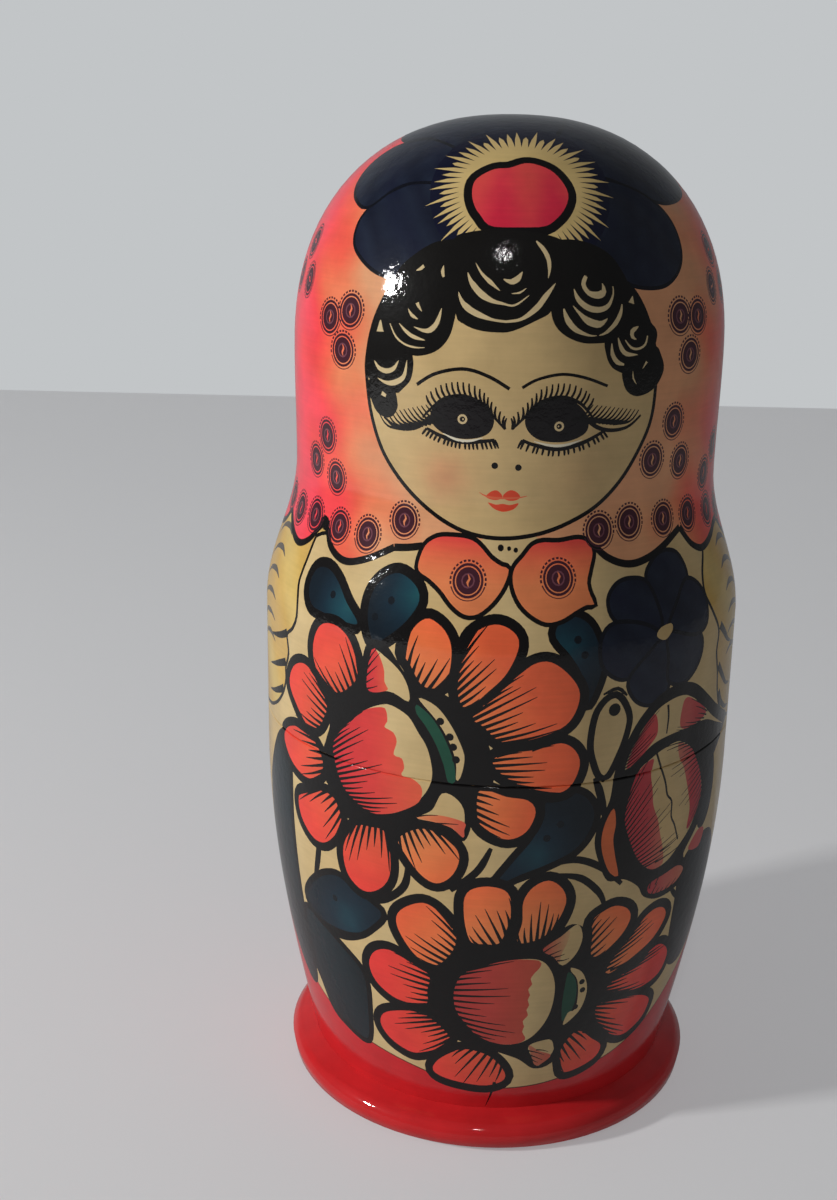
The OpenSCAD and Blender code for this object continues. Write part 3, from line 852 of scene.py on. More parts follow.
def tulip(share):
    """The striped tulip at the right, cream on black."""
    dabs = filled(
        [(27, 101), (29.5, 107), (33, 112.5), (38.5, 117), (45, 118.3), (51, 116.8),
         (57.5, 112.3), (62, 109), (68, 105.5), (74, 102), (69, 98.5), (62, 93), (60, 85),
         (57.5, 79.5), (52, 73.5), (55, 70), (52, 65.5), (44, 64.4), (38.5, 66.5), (36, 70),
         (31.5, 73), (27, 73.6), (24.2, 79), (22.8, 84), (23.6, 89), (26, 94)],
        INK)
    dabs += filled(
        [(29.6, 100.6), (31.4, 106), (34.6, 110.6), (39, 114), (45, 115.2), (50, 113.8),
         (56, 109.6), (60.5, 106.2), (66, 103), (70, 101), (64, 103.4), (57, 106.2), (50, 106.6),
         (42, 106.4), (37, 105.3), (33, 102.6)],
        CREAM)
    dabs += red_side(
        [(30, 101), (31.6, 106), (34.6, 110.4), (37.4, 112.6), (38.4, 108), (36, 105), (33, 102.6)],
        (20, 96), 11, 9, 0.42, share, ("#c2343f", "#cc4a48"))
    dabs += red_side(
        [(46.5, 107), (46.2, 112), (48, 114.2), (53, 111.6), (57, 108.4), (54, 106.8)],
        (66, 104), 8, 8, 0.42, share, ("#cc5a50", "#c2343f"))
    dabs.append(("wall", line([(41.2, 114), (41.6, 111), (41.3, 107)], 0.7, 0.4), INK))
    dabs += filled(
        [(33, 99), (30.4, 90), (31.5, 84.5), (35, 77.5), (39.5, 73.5), (44.5, 73.7), (49, 76.5),
         (54, 80.5), (57.5, 87), (56.5, 92.5), (54, 97), (51, 101), (46, 104), (41, 103.5),
         (37, 102)],
        CREAM)
    reds = ("#bb2f3c", "#c63f45", "#cf7a60")
    dabs += red_side(
        [(33, 99), (30.4, 90), (31.5, 84.5), (35, 77.5), (39.5, 73.5), (43.6, 73.8), (43, 78),
         (41.6, 82), (40.4, 86), (38.6, 90), (38, 94), (37.2, 98), (37.6, 101.8)],
        (16, 70), 24, 14, 0.5, share, reds)
    dabs += red_side(
        [(46, 103.6), (51, 101), (54, 97), (56.5, 92.5), (57.5, 87), (55, 82), (52, 80),
         (52.4, 85), (51.4, 89), (50, 93), (48.4, 97), (46.4, 100)],
        (72, 102), 19, 10, 0.45, share, reds[::-1])
    vein = [
        (38.5, 103), (40, 99.5), (42, 95), (43, 91.5), (44.7, 89.5), (45, 85.5), (46.5, 83),
        (48.5, 78.5),
    ]
    dabs.append(("wall", line(vein, 0.6, 0.5), INK))
    dabs += filled(
        [(27.2, 91.8), (28, 88), (27.6, 84), (28.5, 79.5), (29.8, 74.3), (27.5, 75.5),
         (25.5, 79.5), (24.5, 84), (25.2, 88.5)],
        "#e0703f")
    dabs += red_side(
        [(40, 69.5), (45, 70.5), (50, 71), (53, 69), (50, 66.5), (44, 66), (40, 67)],
        (36, 58), 8, 4, 0.5, share, ("#bb2f3c", "#cf7a60"))
    dabs += filled([(54, 74), (58, 77.5), (62, 76.5), (60, 72.5)], "#cc4f4a")
    return dabs


def bouquet(share):
    """All that is painted on the front of the dress, from the leaves up to the flowers."""
    return (leaves_and_stems() + left_flower(share) + low_flower(share) + round_flower()
            + tulip(share))


def apron(below):
    """The cream front of the dress, with a dark edge."""
    if below:
        edge = [
            (-84, 100.5), (-83, 70), (-78, 52), (-70, 40), (-60, 32), (-50, 26.5), (-42, 23.6),
            (-30, 21.2), (-20, 19.2), (-8, 16.4), (0, 15.6), (15, 16.4), (30, 19.2), (40, 21.6),
            (50, 26), (60, 32.5), (70, 41), (79, 54), (84, 70), (85, 100.5),
        ]
    else:
        edge = [
            (-84, 96), (-84, 120), (-78, 150), (-40, 153.6), (0, 154), (40, 153.6), (78, 150),
            (85, 120), (85, 96),
        ]
    back = smooth([edge[-1], edge[0]], 1.6, closed=False)[1:-1]
    shape = np.vstack([smooth(edge, 1.6, closed=False), back])
    return [("wall", grown(shape, 0.35), "#5e2a1e"), ("wall", shape, CREAM)]


doll_1 = turning(1)
flowers = bouquet(1)
lower = turned_skin(
    "doll_1_lower_half_painted", doll_1, False, True, DRESS_RED, apron(True) + flowers)
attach(lower, "doll_1_lower_half")
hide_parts("doll_1_lower_half")


# =====================================================================================
# Largest doll, upper half. Shoulders and head turned from one piece of lime, hollow, with a
# socket that takes the lip. Kerchief, face and hair are painted by hand, the rings stamped.
# =====================================================================================
def dye_strength(x, z):
    """How strong the kerchief's red is: pale near the face, full at the sides and the back."""
    pale = 24 + 17 * (x > 0) * (x < 110) + 0.22 * np.clip(z - 150, 0, 60)
    streaks = 0.11 * np.sin(z * 0.33 + 0.8 * np.sin(x * 0.21)) + 0.07 * np.sin(x * 0.31 + z * 0.14)
    return np.clip((np.abs(x) - pale) / 37 + streaks, 0, 1)


def blush(x, z):
    """Two spots of rouge, the left one stronger."""
    left = np.exp(-(((x + 15.6) / 8.5) ** 2 + ((z - 166) / 7.5) ** 2))
    return 0.9 * left + 0.3 * np.exp(-(((x - 17) / 7.5) ** 2 + ((z - 166) / 7) ** 2))


KERCHIEF = tint(["#e8a578", "#f28a60", "#f96850", "#ff4c50", "#ff4f5e"], dye_strength)
SLEEVE = tint(
    ["#dcbd72", "#d9b05c", "#d2ac66"], lambda x, z: 0.5 + 0.5 * np.sin(x * 0.2 + z * 0.17))
FACE = tint(["#d3b580", "#d6b07c", "#dc9a70"], blush)
COLLAR = tint(["#f04c46", "#f27850", "#ec8856"], lambda x, z: np.clip((153 - z) / 9, 0, 1))
FEATHER = "#5c544c"
BACK = 181.8  # the middle of the back, half way round the belly, mm
STAMP = "#45202c"


def stamp(chart, x, z, ground, share):
    """A ring stamp: dark rings with the ground between them, and a broken ring outside."""
    fine = share > 0.9
    rings = [(0.95, STAMP), (0.62, ground), (0.4, STAMP)]
    if fine:
        rings = [(0.84, STAMP), (0.71, ground), (0.65, STAMP), (0.37, "#754450"), (0.29, STAMP)]
    dabs = [(chart, disc(x, z, 4.3 * q, 26 if q > 0.4 else 12), colour) for q, colour in rings]
    for i in range(15 if fine else 0):
        a, b = math.radians(-12 + 14 * i), math.radians(-3 + 14 * i)
        ends = [
            (x + q * math.cos(f), z + q * math.sin(f))
            for q, f in ((3.9, a), (3.9, b), (4.35, b), (4.35, a))
        ]
        dabs.append((chart, np.array(ends), STAMP))
    if fine:
        arc = [
            (x + 4.1 * math.cos(f), z + 4.1 * math.sin(f))
            for f in np.radians(np.linspace(200, 345, 7))
        ]
        dabs.append((chart, line(arc, 0.3, 0.2, 0.2, 0.3), STAMP))
    tick = line(
        [(x - 0.1, z + 1.3), (x + 0.35, z + 0.4), (x - 0.1, z - 0.4), (x + 0.2, z - 1.2)], 0.1, 0.5,
        0.5, 0.1)
    return dabs + [(chart, tick, ground)]


def bodice():
    """The dress above the waist: cream front, yellow sleeves with feathered edges, red back."""
    dabs = []
    for s in (-1, 1):
        # the two sides of the back overlap a little in the middle
        back = [(s * 183, 96), (s * 183, 152), (s * 80, 152), (s * 80, 96)]
        sides = [smooth(ends, 3, closed=False)[:-1] for ends in zip(back, back[1:] + back[:1])]
        dabs.append(("wall", np.vstack(sides), DRESS_RED))
    dabs += apron(False)
    left = [
        (-51, 151), (-54.6, 148), (-56, 142), (-56.8, 137), (-55.8, 133), (-55.3, 129), (-57, 126),
        (-60, 123.5), (-59.3, 119), (-61, 115), (-61, 112), (-63, 108), (-68, 104), (-76, 101.5),
        (-90, 101), (-104, 106), (-110, 125), (-108, 152),
    ]
    right = [
        (59.5, 151), (59.5, 146), (56.5, 141), (55.8, 137), (58, 133), (61.5, 127), (61, 122),
        (62.5, 117), (63.4, 112), (66, 107), (72, 103), (80, 101), (92, 101), (104, 106),
        (110, 125), (108, 152),
    ]
    for edge in (left, right):
        dabs += edged(smooth(edge), 0.9, SLEEVE)
    feathers = [
        [(-59.5, 123.8), (-63, 122.3), (-67, 121.2), (-72, 120.2)],
        [(-60.5, 116.3), (-64, 115), (-68, 113.6), (-73, 112.2)],
        [(-62, 109.3), (-65, 107.9), (-69, 106.4), (-74, 105.2)],
        [(62, 128), (65, 125.6), (68.5, 122.8), (73, 121)],
        [(62.5, 118), (66, 114.6), (70, 111.4), (75, 110)],
        [(64, 111), (66.6, 107.6), (71, 105), (76, 104)],
    ]
    dabs += [("wall", line(p, 2.0, 1.5, 0.2), INK) for p in feathers]
    for s in (-1, 1):
        for x0, x1, x2, x3, drop, heights in (
            (68, 72, 78, 83, 3.4, [145 - 5.2 * i for i in range(6)]),
            (90, 94, 99, 103, 3.2, [140 - 6 * i for i in range(5)]),
        ):
            for z in heights:
                stroke = [(s * x0, z), (s * x1, z + 1.3), (s * x2, z + 0.2), (s * x3, z - drop)]
                dabs.append(("wall", line(stroke, 0.2, 1.5, 1.0, 0.1), FEATHER))
    return dabs


def kerchief_hem():
    """The scalloped lower edge of the kerchief, right round the shoulders."""
    scallops = [
        [(-74.5, 149.6), (-70, 147), (-65, 145), (-61, 144.7), (-57, 146.5), (-54, 149.6),
         (-51.8, 151)],
        [(-51.8, 151), (-50, 149.6), (-48, 147), (-44, 145), (-40, 144.6), (-35, 146),
         (-31, 147.8), (-27.6, 149.5)],
        [(-27.6, 149.5), (-24, 149.9), (-20.2, 150.6)],
        [(20.8, 152.2), (22, 151.5), (25, 149), (29, 147.3), (33, 146.9), (38, 147.8),
         (43, 149.5), (47.5, 151.4), (50, 152.4)],
        [(50, 152.4), (51.2, 151), (54, 148.2), (58, 146.5), (62, 146.8), (67, 148.3), (71, 150),
         (75, 150.6)],
    ]
    for s, first in ((-1, 74.5), (1, 75)):
        for i in range(5):
            a, b = (first + (BACK - first) * j / 5 for j in (i, i + 1))
            low = [(s * (a + (b - a) * f), 150.3 - 5.4 * math.sin(math.pi * f) ** 0.8)
                   for f in (0, 0.12, 0.3, 0.5, 0.7, 0.88, 1)]
            scallops.append(low if s > 0 else low[::-1])
    cloth, edge = [], []
    for points in scallops:
        curve = smooth(points, 1.3, closed=False)
        roof = smooth([(points[-1][0], 156.5), (points[0][0], 156.5)], 2.0, closed=False)
        cloth.append(("wall", np.vstack([curve, roof]), KERCHIEF))
        edge.append(("wall", line(points, 1.6), INK))
    edge.append(("wall", line([(-54, 150.2), (-52.4, 151.2), (-50, 150)], 1.6, 3.4, 1.6), INK))
    under_chin = [
        (-20.4, 150.4), (-20.4, 156.5), (-8, 156.5), (8, 156.5), (21, 156.5), (21, 152), (10, 152),
        (0, 150), (-10, 152),
    ]
    return cloth + filled(under_chin, KERCHIEF, 1.2) + edge


def lapels(share):
    """The collar tied under the chin, two orange leaves with a ring stamp each."""
    left = smooth([
        (-20.6, 147.3), (-19.4, 150.8), (-16.5, 152.7), (-13, 153.1), (-8.8, 152.9), (-6.2, 151.7),
        (-3.2, 149), (-0.6, 147.6), (1, 147), (-0.1, 143.6), (-2.6, 140.2), (-5.6, 137.8),
        (-8.5, 137.5), (-11.4, 139.2), (-14.4, 142.1), (-17.4, 144.1), (-20.2, 145.4)])
    right = smooth([
        (2.4, 147.3), (4.6, 149.7), (6.7, 151.9), (9.2, 152.6), (13, 152.5), (18, 153), (20.6, 152),
        (21.5, 150), (20.5, 147), (19.5, 144), (20, 141.5), (20.8, 139.5), (19, 139.5), (16, 138.3),
        (13, 136.8), (9.5, 136.3), (5.7, 138.3), (3.2, 141.1), (2, 144.5)])
    dabs = filled(
        [(-6, 152.6), (-3, 149.4), (1, 147.4), (4.5, 149.8), (8, 153.4), (0.6, 154.6)], CREAM)
    for shape in (left, right):
        dabs += edged(shape, 1.0, COLLAR)
    dabs += [
        ("wall", disc(x, z, r, 10), INK)
        for x, z, r in ((-1, 151.4, 0.75), (1, 151.3, 0.5), (2.6, 151, 0.55))
    ]
    for x, z in ((-8.3, 144.4), (12.6, 145.2)):
        dabs += stamp("wall", x, z, COLLAR, share)
    return dabs


FACE_EDGE = [
    (0.6, 153.4), (8, 154.6), (15, 157.2), (20.6, 160.4), (25.8, 165.4), (30, 171.6),
    (32.6, 177.2), (33.4, 183), (33.2, 190), (31.3, 198), (27, 205.5), (19, 211), (0, 213),
    (-19, 211), (-27, 205.5), (-31, 198), (-32.7, 190), (-32.7, 185.5), (-31.4, 177.6),
    (-28.6, 170.4), (-24.2, 164.6), (-18.6, 159.6), (-12.3, 155.8), (-6.2, 153.8),
]


def face(share):
    """Brows, lashes, eyes, nose and mouth of a painted doll."""
    shape = smooth(FACE_EDGE, 1.2)
    dabs = [("head", grown(shape, 0.45), INK), ("head", grown(shape, -0.45), FACE)]
    ink = lambda pts, *widths: dabs.append(("head", line(pts, *widths, step=0.8), INK))
    ink([(-20, 185.1), (-15.8, 187.7), (-9.8, 189), (-4.6, 187.7), (-0.1, 185.2)], 0.75)
    ink([(2.5, 185.5), (5.8, 187.3), (10.8, 188.3), (15.8, 187.5), (21, 185.6)], 0.65)
    # of each eye: the side, the iris, its ring of light, the upper lid from the inner corner,
    # the lower lid, the lower edge of the wing
    eyes = [
        (-1,
         [(-16.9, 178.6), (-16, 180.8), (-13, 182.7), (-9.8, 183.2), (-6.4, 182.5), (-4, 180.6),
          (-3.1, 178.6), (-3.8, 176.2), (-6, 174.8), (-9.8, 174.3), (-13.4, 175), (-16, 176.7)],
         (-9.8, 178.5),
         [(-0.8, 176.7), (-3.3, 179.4), (-5.8, 182), (-9.8, 183.3), (-13.8, 182.6),
          (-16.9, 180.1), (-18.6, 178.2)],
         [(-2.9, 174.4), (-5.4, 174), (-9.8, 173.7), (-14, 174.5), (-17.6, 176)],
         [(-16.8, 178.6), (-18.4, 177), (-20, 176), (-22.2, 175.4), (-25, 175.7), (-28, 177.4)]),
        (1,
         [(3.3, 178.6), (4.3, 180.9), (7.2, 182.8), (10.8, 183.3), (14, 182.3), (16.4, 180),
          (17.1, 177.7), (16.4, 175.8), (13.6, 174.4), (10.4, 174), (6.6, 174.5), (4.2, 176.2)],
         (10.6, 177.4),
         [(0.7, 176.7), (3.3, 179.4), (6.4, 182.4), (10.8, 183.5), (14.6, 182.4), (17.2, 180),
          (18.4, 178.2)],
         [(2.9, 174.5), (5.4, 173.5), (10.4, 172.6), (15.8, 173.7), (20.6, 176)],
         [(17, 178.4), (19.2, 176.9), (21.7, 176.2), (24.6, 176.2), (27.1, 176.9), (29.8, 178.9)]),
    ]
    broad = 0.54 / share ** 0.5
    lash, long_lash = (broad, broad, 0.6 * broad), (broad, broad, 0.4 * broad)
    for s, iris, light, lid, low, wing in eyes:
        dabs.append(("head", smooth(iris, 0.8), "#151113"))
        ink(low, 0.6, 1.0, 1.0, 0.6)
        (x0, z0), (x1, z1) = low[1], low[3]
        crescent = [((1 - f) * x0 + f * x1,
                     (1 - f) * z0 + f * z1 + 0.75 - 1.1 * math.sin(math.pi * f))
                    for f in (0, 0.25, 0.5, 0.75, 1)]
        dabs.append(("head", line(crescent, 0.1, 0.5, 0.6, 0.5, 0.1, step=0.8), "#e8dfc6"))
        dabs += [
            ("head", disc(*light, 1.05, 14), "#d9c091"), ("head", disc(*light, 0.6, 12), "#151113"),
            ("head", disc(light[0] - 0.15 * s, light[1], 0.2, 6), "#d9c091"),
        ]
        ink(lid, 0.4, 0.7, 1.0, 0.7, 0.4)
        ink(wing, 1.0, 0.9, 0.7, 0.5)
        lid_curve, low_curve = (smooth(c, 0.4, closed=False) for c in (lid, low))
        count = max(7, int(18 * share))
        for i in range(count):  # upper lashes stand out from the lid
            f = i / (count - 1)
            x, z = lid_curve[int(f * 0.86 * (len(lid_curve) - 1))]
            lean = s * (-0.15 + 0.95 * f)
            tip = (x + lean * 1.8, z + 3.2 - 0.8 * abs(2 * f - 1))
            ink([(x, z), ((x + tip[0]) / 2 + s * 0.25, (z + tip[1]) / 2), tip], *lash)
        count = max(4, int(12 * share))
        for i in range(count):  # long lashes sweep out over the wing
            f = i / (count - 1)
            x, z = s * (17.9 + 11.3 * f), 181.8 - 1.7 * f + (0 if s > 0 else -0.8 - 1.4 * f)
            root = (x - s * (4.8 + 1.6 * f), z - 3.1 + 0.4 * f)
            ink([root, (x - s * 2.2, z - 2.3), (x, z)], *long_lash)
        count = max(5, int(19 * share))
        for i in range(count):  # short lashes hang from the lower lid
            f = i / (count - 1)
            x, z = low_curve[int(f * (len(low_curve) - 1))]
            tip = (x + s * (2 * f - 0.9), z - 1.8 + 0.4 * f)
            ink([(x, z), (x + s * (1.2 * f - 0.5), z - 0.9), tip], *lash)
    dabs += [("head", disc(x, z, 0.72, 10), INK) for x, z in ((-2.7, 168.9), (2.3, 168.6))]
    for points in [
        [(-4.4, 162.2), (-3.3, 163.3), (-2.1, 163.6), (-1.1, 162.8), (-0.9, 162), (-2, 161.5),
         (-3.4, 161.6)],
        [(-0.8, 162.1), (-0.3, 163.1), (0.8, 163.7), (2, 163.4), (2.9, 162.4), (2.2, 161.6),
         (0.5, 161.4)],
        [(-3.9, 160.9), (-2.2, 160.5), (-0.8, 160.7), (0.8, 160.5), (2.6, 160.9), (1.6, 159.6),
         (-0.6, 159), (-2.6, 159.6)],
    ]:
        dabs.append(("head", smooth(points, 0.5), "#e04c30"))
    parting = [(-5.8, 163), (-4, 162.1), (-0.9, 161.9), (2.6, 162.1), (4.4, 162.5)]
    dabs.append(("head", line(parting, 0.1, 0.5, 0.4, 0.4, 0.1), "#e06a48"))
    return dabs


def hair():
    """Black curls round the forehead, each lit by a few cream crescents left open."""
    curls = [
        [(-12, 208), (-11.9, 200), (-10, 198.1), (-6.9, 197), (-3.1, 196.7), (0, 197), (5, 199.2),
         (8.1, 201.1), (8.8, 205), (9.4, 210), (11, 215), (-2, 217), (-14, 215)],
        [(-29.8, 199.7), (-27.6, 196), (-23.5, 192.2), (-21.1, 191.1), (-18.1, 191.4),
         (-15.3, 192.7), (-13.3, 195), (-12.3, 198), (-11.5, 204), (-11, 213.6), (-18, 214.2),
         (-25, 210), (-27.6, 206)],
        [(-33.1, 187), (-31, 184.6), (-25.3, 182.8), (-23.1, 184.1), (-21.5, 185.9),
         (-20.9, 188.4), (-21.1, 191.1), (-23, 196), (-26, 201), (-29.8, 200), (-31.6, 195),
         (-32.8, 192)],
        [(-32.9, 184), (-31.5, 180.9), (-30, 178.4), (-27.6, 177.3), (-25.6, 178), (-24.6, 179.6),
         (-24.6, 181.2), (-25.6, 184), (-29, 186.5)],
        [(8, 206), (8.1, 201), (9.1, 198.1), (11.3, 196.1), (14.4, 194.8), (17.5, 194.5),
         (21.5, 195), (24.5, 198), (26, 203), (25.9, 207), (22, 212.4), (15, 215), (8.5, 214)],
        [(20, 196), (20.3, 192.2), (21.3, 190), (22.8, 188.8), (26, 188), (31, 190.4),
         (33.2, 194.6), (33.1, 196.8), (31.4, 198.6), (28.4, 203.4), (25.6, 207), (23, 204)],
        [(24.5, 189), (24.7, 186.2), (25.9, 184.1), (28.4, 183), (31.6, 183.6), (33.8, 185),
         (35.3, 187.2), (35.6, 189), (34.7, 191.2), (33, 193.4), (28, 194)],
    ]
    dabs = [("head", smooth(p, 1.0), "#12100e") for p in curls]
    crescents = [
        ([(-11.7, 204.5), (-10.6, 202.4), (-8.3, 200.7), (-4.4, 199.3), (-1.2, 198.9)],
         0.1, 1.3, 1.2, 0.5, 0.5),
        ([(-1.3, 198.9), (1.9, 199.5), (5, 201.7), (6.9, 204), (9.1, 206.6)],
         0.5, 0.6, 1.2, 1.1, 0.1),
        ([(-10, 208.4), (-9, 206.5), (-6.8, 204.3), (-4.4, 203), (-2.2, 202.5), (0.4, 202.2),
          (3.4, 204.2)],
         0.1, 1.2, 1.4, 0.8, 0.4, 0.4, 0.1),
        ([(-8.4, 210.3), (-6.9, 208.3), (-5, 206.7), (-2.8, 205)], 0.1, 0.5, 0.9, 0.1),
        ([(-2.1, 207.3), (-0.6, 206.8), (0.9, 207.4), (1.9, 208.8)], 0.2, 1.2, 1.2, 0.1),
        ([(-0.3, 204.5), (1.4, 204.7), (2.8, 205.6)], 0.1, 0.4, 0.1),
        ([(5, 214.8), (6.7, 213.1), (7.7, 211.2), (7.8, 209.1), (7.5, 207.6)],
         0.3, 0.9, 1.0, 0.8, 0.1),
        ([(-27, 197.3), (-25.3, 194.7), (-23.1, 193.3), (-20.6, 192.8), (-18.4, 192.9)],
         0.2, 0.4, 0.4, 0.4, 0.1),
        ([(-24.7, 197.5), (-23.1, 196.1), (-21.2, 195), (-18.4, 194.4)], 0.1, 0.7, 0.8, 0.1),
        ([(-21.1, 197), (-19, 196.4), (-17.3, 196.6), (-15.9, 198.2), (-15.1, 201.1)],
         0.1, 0.7, 1.2, 0.9, 0.1),
        ([(-22.8, 200.6), (-21.9, 199.4), (-20.3, 198.6)], 0.1, 0.8, 0.1),
        ([(-20.8, 201.9), (-20.3, 201.1), (-19.5, 200.2)], 0.8, 0.6, 0.1),
        ([(-15.6, 209.6), (-15.7, 208.4), (-15.3, 207.3)], 0.1, 0.8, 0.5),
        ([(-22, 208.3), (-21, 208.7), (-20.3, 209.3)], 0.1, 0.7, 0.8),
        ([(-30.6, 189.2), (-29.4, 187.8), (-27.5, 187.3), (-25.6, 188), (-24.4, 189.8)],
         0.2, 0.9, 1.1, 0.9, 0.1),
        ([(-29.7, 185.6), (-27.8, 184.9), (-25.9, 184.9), (-24, 185.7), (-22.9, 187), (-22.4, 190)],
         0.1, 0.7, 1.2, 1.1, 0.7, 0.1),
        ([(-29.4, 195.4), (-29.5, 197.8)], 1.9, 0.2), ([(-28.6, 182.5), (-27.5, 182)], 0.9, 0.7),
        ([(10.8, 201.6), (11.6, 199.4), (13.4, 197.4), (16.3, 196.2), (18.1, 196.1)],
         0.3, 1.3, 1.1, 0.5, 0.1),
        ([(18.6, 196.1), (20.3, 196.7), (22.5, 198.5), (23.8, 200.6), (24.2, 202.3)],
         0.1, 0.7, 1.0, 0.9, 0.2),
        ([(12.8, 202.2), (14.4, 200.5), (16.3, 199), (18.8, 198.4), (20.6, 199.5)],
         0.1, 0.8, 1.5, 1.5, 0.1),
        ([(13.1, 205.5), (14.1, 203.3), (16.3, 201.7), (18.8, 201.3), (20.9, 202.1),
          (22.2, 204.4), (22.2, 205.9)],
         0.1, 1.0, 1.2, 1.2, 1.0, 0.5, 0.2),
        ([(16, 208), (15.3, 206.4), (16.4, 204.7), (18.6, 204.2), (20, 205), (19.7, 206.5)],
         0.8, 1.0, 0.9, 1.4, 1.5, 0.2),
        ([(26.6, 202.4), (27, 203.8)], 1.5, 0.2),
        ([(21.6, 194.4), (21.8, 192.2), (23, 190.5), (24.7, 189.9)], 0.2, 0.9, 1.0, 0.4),
        ([(23.1, 195.5), (23.8, 193.5), (25.2, 192.1), (28.1, 191.8)], 0.2, 1.0, 0.9, 0.1),
        ([(24.8, 195), (26.3, 193.4), (28.1, 193), (30, 193.8), (30.6, 195.6)],
         0.2, 0.5, 0.5, 0.5, 0.3),
        ([(28.2, 197.6), (26.6, 196.7), (26.7, 195.5), (27.7, 195)], 0.2, 1.1, 0.9, 0.1),
        ([(27, 188.4), (27.2, 186.9), (28.1, 185.6)], 0.1, 0.4, 0.1),
        ([(30.6, 190.2), (29.5, 188.8)], 0.6, 0.1),
    ]
    return dabs + [("head", line(p, *widths, step=0.8), "#d9c294") for p, *widths in crescents]


def crown_flower():
    """The dark flower on the crown, with a cream burst and a red heart, over the forehead."""
    dabs = []
    petals = [
        [(-12, -46), (-22, -55), (-30, -56), (-36, -52), (-40, -46.5), (-42.2, -39.5),
         (-40.5, -35), (-36, -33), (-26, -34), (-14, -38)],
        [(-12, -40), (-26, -33.6), (-36, -32.6), (-39.2, -26), (-38.6, -19.6), (-35, -15),
         (-30, -13.4), (-25, -15), (-14, -24), (-4, -36)],
        [(-8, -34), (-20, -18), (-25, -14), (-25.4, -4), (-20, 6), (-9, 11), (3, 9), (10, 1),
         (11, -10), (8, -26), (2, -36)],
        [(2, -36), (9, -24), (11, -10), (13, 0), (21, 5.5), (31, 3), (39, -6), (41.6, -15),
         (39, -25), (33, -31.4), (20, -34), (8, -40)],
        [(8, -40), (22, -34), (33, -31.4), (40, -32), (44.8, -36), (45.8, -41.5), (43.2, -48),
         (37.5, -53), (31, -55.4), (22, -54), (12, -47)],
    ]
    for points in petals:
        shape = smooth(points)
        dabs += [("crown", grown(shape, 0.5), "#0b0d18"), ("crown", grown(shape, -0.35), NAVY)]
    centre = np.array([1.2, -42.5])
    dabs.append(("crown", disc(*centre, 21.5), "#10132a"))
    burst = []
    rays = 62
    for i in range(rays):
        a = 2 * math.pi * i / rays
        tip = 20 + 1.9 * math.sin(3.7 * i)
        for half, q in ((-1, 13.8), (-0.62, 17.2), (0, tip), (0.62, 17.2), (1, 13.8)):
            b = a + half * math.pi / 63.5  # a ray is a little narrower than its share
            burst.append(centre + q * np.array([math.cos(b) * 1.04, math.sin(b) * 0.92]))
    dabs.append(("crown", np.array(burst), "#dcbf80"))
    heart = smooth([
        (-10, -42), (-8.8, -39.2), (-4.8, -37.1), (-1.4, -36.9), (2, -35.4), (5, -35.6),
        (8.6, -37.2), (11.8, -41), (12.2, -44.5), (10.2, -48.6), (6, -51.4), (-5, -51.6),
        (-8.4, -48.4), (-9.8, -45.4)])
    heart_red = tint(["#d81f3e", "#e4304a", "#ea504c"],
                     lambda x, z: np.clip((z - 205) / 26, 0, 1) + 0.2 * np.sin(x * 0.4))
    return dabs + edged(heart, 2.0, heart_red, "crown")


def kerchief_rings(share):
    """Ring stamps over the kerchief: a row above the hem and groups of three higher up."""
    dabs = []
    for x, z in [
        (-53.2, 170.7), (-59.2, 164.3), (-49.2, 161.8), (-67, 151.6), (-57.2, 151.9),
        (-46, 151.3), (-36, 151.2), (-25.7, 155.5), (46, 176.5), (39, 168.7), (50, 167.3),
        (23.5, 154.6), (32.3, 155.7), (43.7, 155.2), (54.5, 154.8), (66.5, 153.8), (72, 168),
        (64.5, 162.5),
    ]:
        dabs += stamp("wall", x, z, KERCHIEF, share)
    for i in range(10):
        for s in (-1, 1):
            dabs += stamp("wall", s * (77 + 10.7 * i), 152.6, KERCHIEF, share)
    for x in (92, 122, 152, BACK, -90, -121, -152):
        for dx, dz in ((0, 172.4), (-5.4, 164.6), (5.4, 164)):
            dabs += stamp("wall", x + dx, dz, KERCHIEF, share)
    for x, z in [(-38.5, 199), (-40.3, 190.4), (-45.6, 197), (44.6, 190.6), (41, 199), (48, 198.6)]:
        dabs += stamp("head", x, z, KERCHIEF, share)
    for a in (70, 105, 140, 180, -140, -105, -72):
        for q, d in ((58, 0), (66, -5), (66.5, 5)):
            b = math.radians(a + d)
            dabs += stamp("crown", q * math.sin(b), -q * math.cos(b), KERCHIEF, share)
    return dabs


def dressed(share, flowers):
    """All that is painted above the waist, in the order it is laid on."""
    cloth = kerchief_hem() + lapels(share) + kerchief_rings(share)
    return bodice() + flowers + cloth + face(share) + crown_flower() + hair()


upper = turned_skin("doll_1_upper_half_painted", doll_1, True, False, KERCHIEF, dressed(1, flowers))
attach(upper, "doll_1_upper_half")
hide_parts("doll_1_upper_half")


# =====================================================================================
# Second to sixth dolls, 201 to 77 mm high, each in two halves. They are turned and painted
# like the largest, with fewer and broader strokes as they get smaller.
# =====================================================================================
for k in range(2, 7):
    t = turning(k)
    flowers = bouquet(t.tall)
    lower = turned_skin(
        f"doll_{k}_lower_half_painted", t, False, True, DRESS_RED, apron(True) + flowers)
    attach(lower, f"doll_{k}_lower_half")
    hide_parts(f"doll_{k}_lower_half")
    upper = turned_skin(
        f"doll_{k}_upper_half_painted", t, True, False, KERCHIEF, dressed(t.tall, flowers))
    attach(upper, f"doll_{k}_upper_half")
    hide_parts(f"doll_{k}_upper_half")


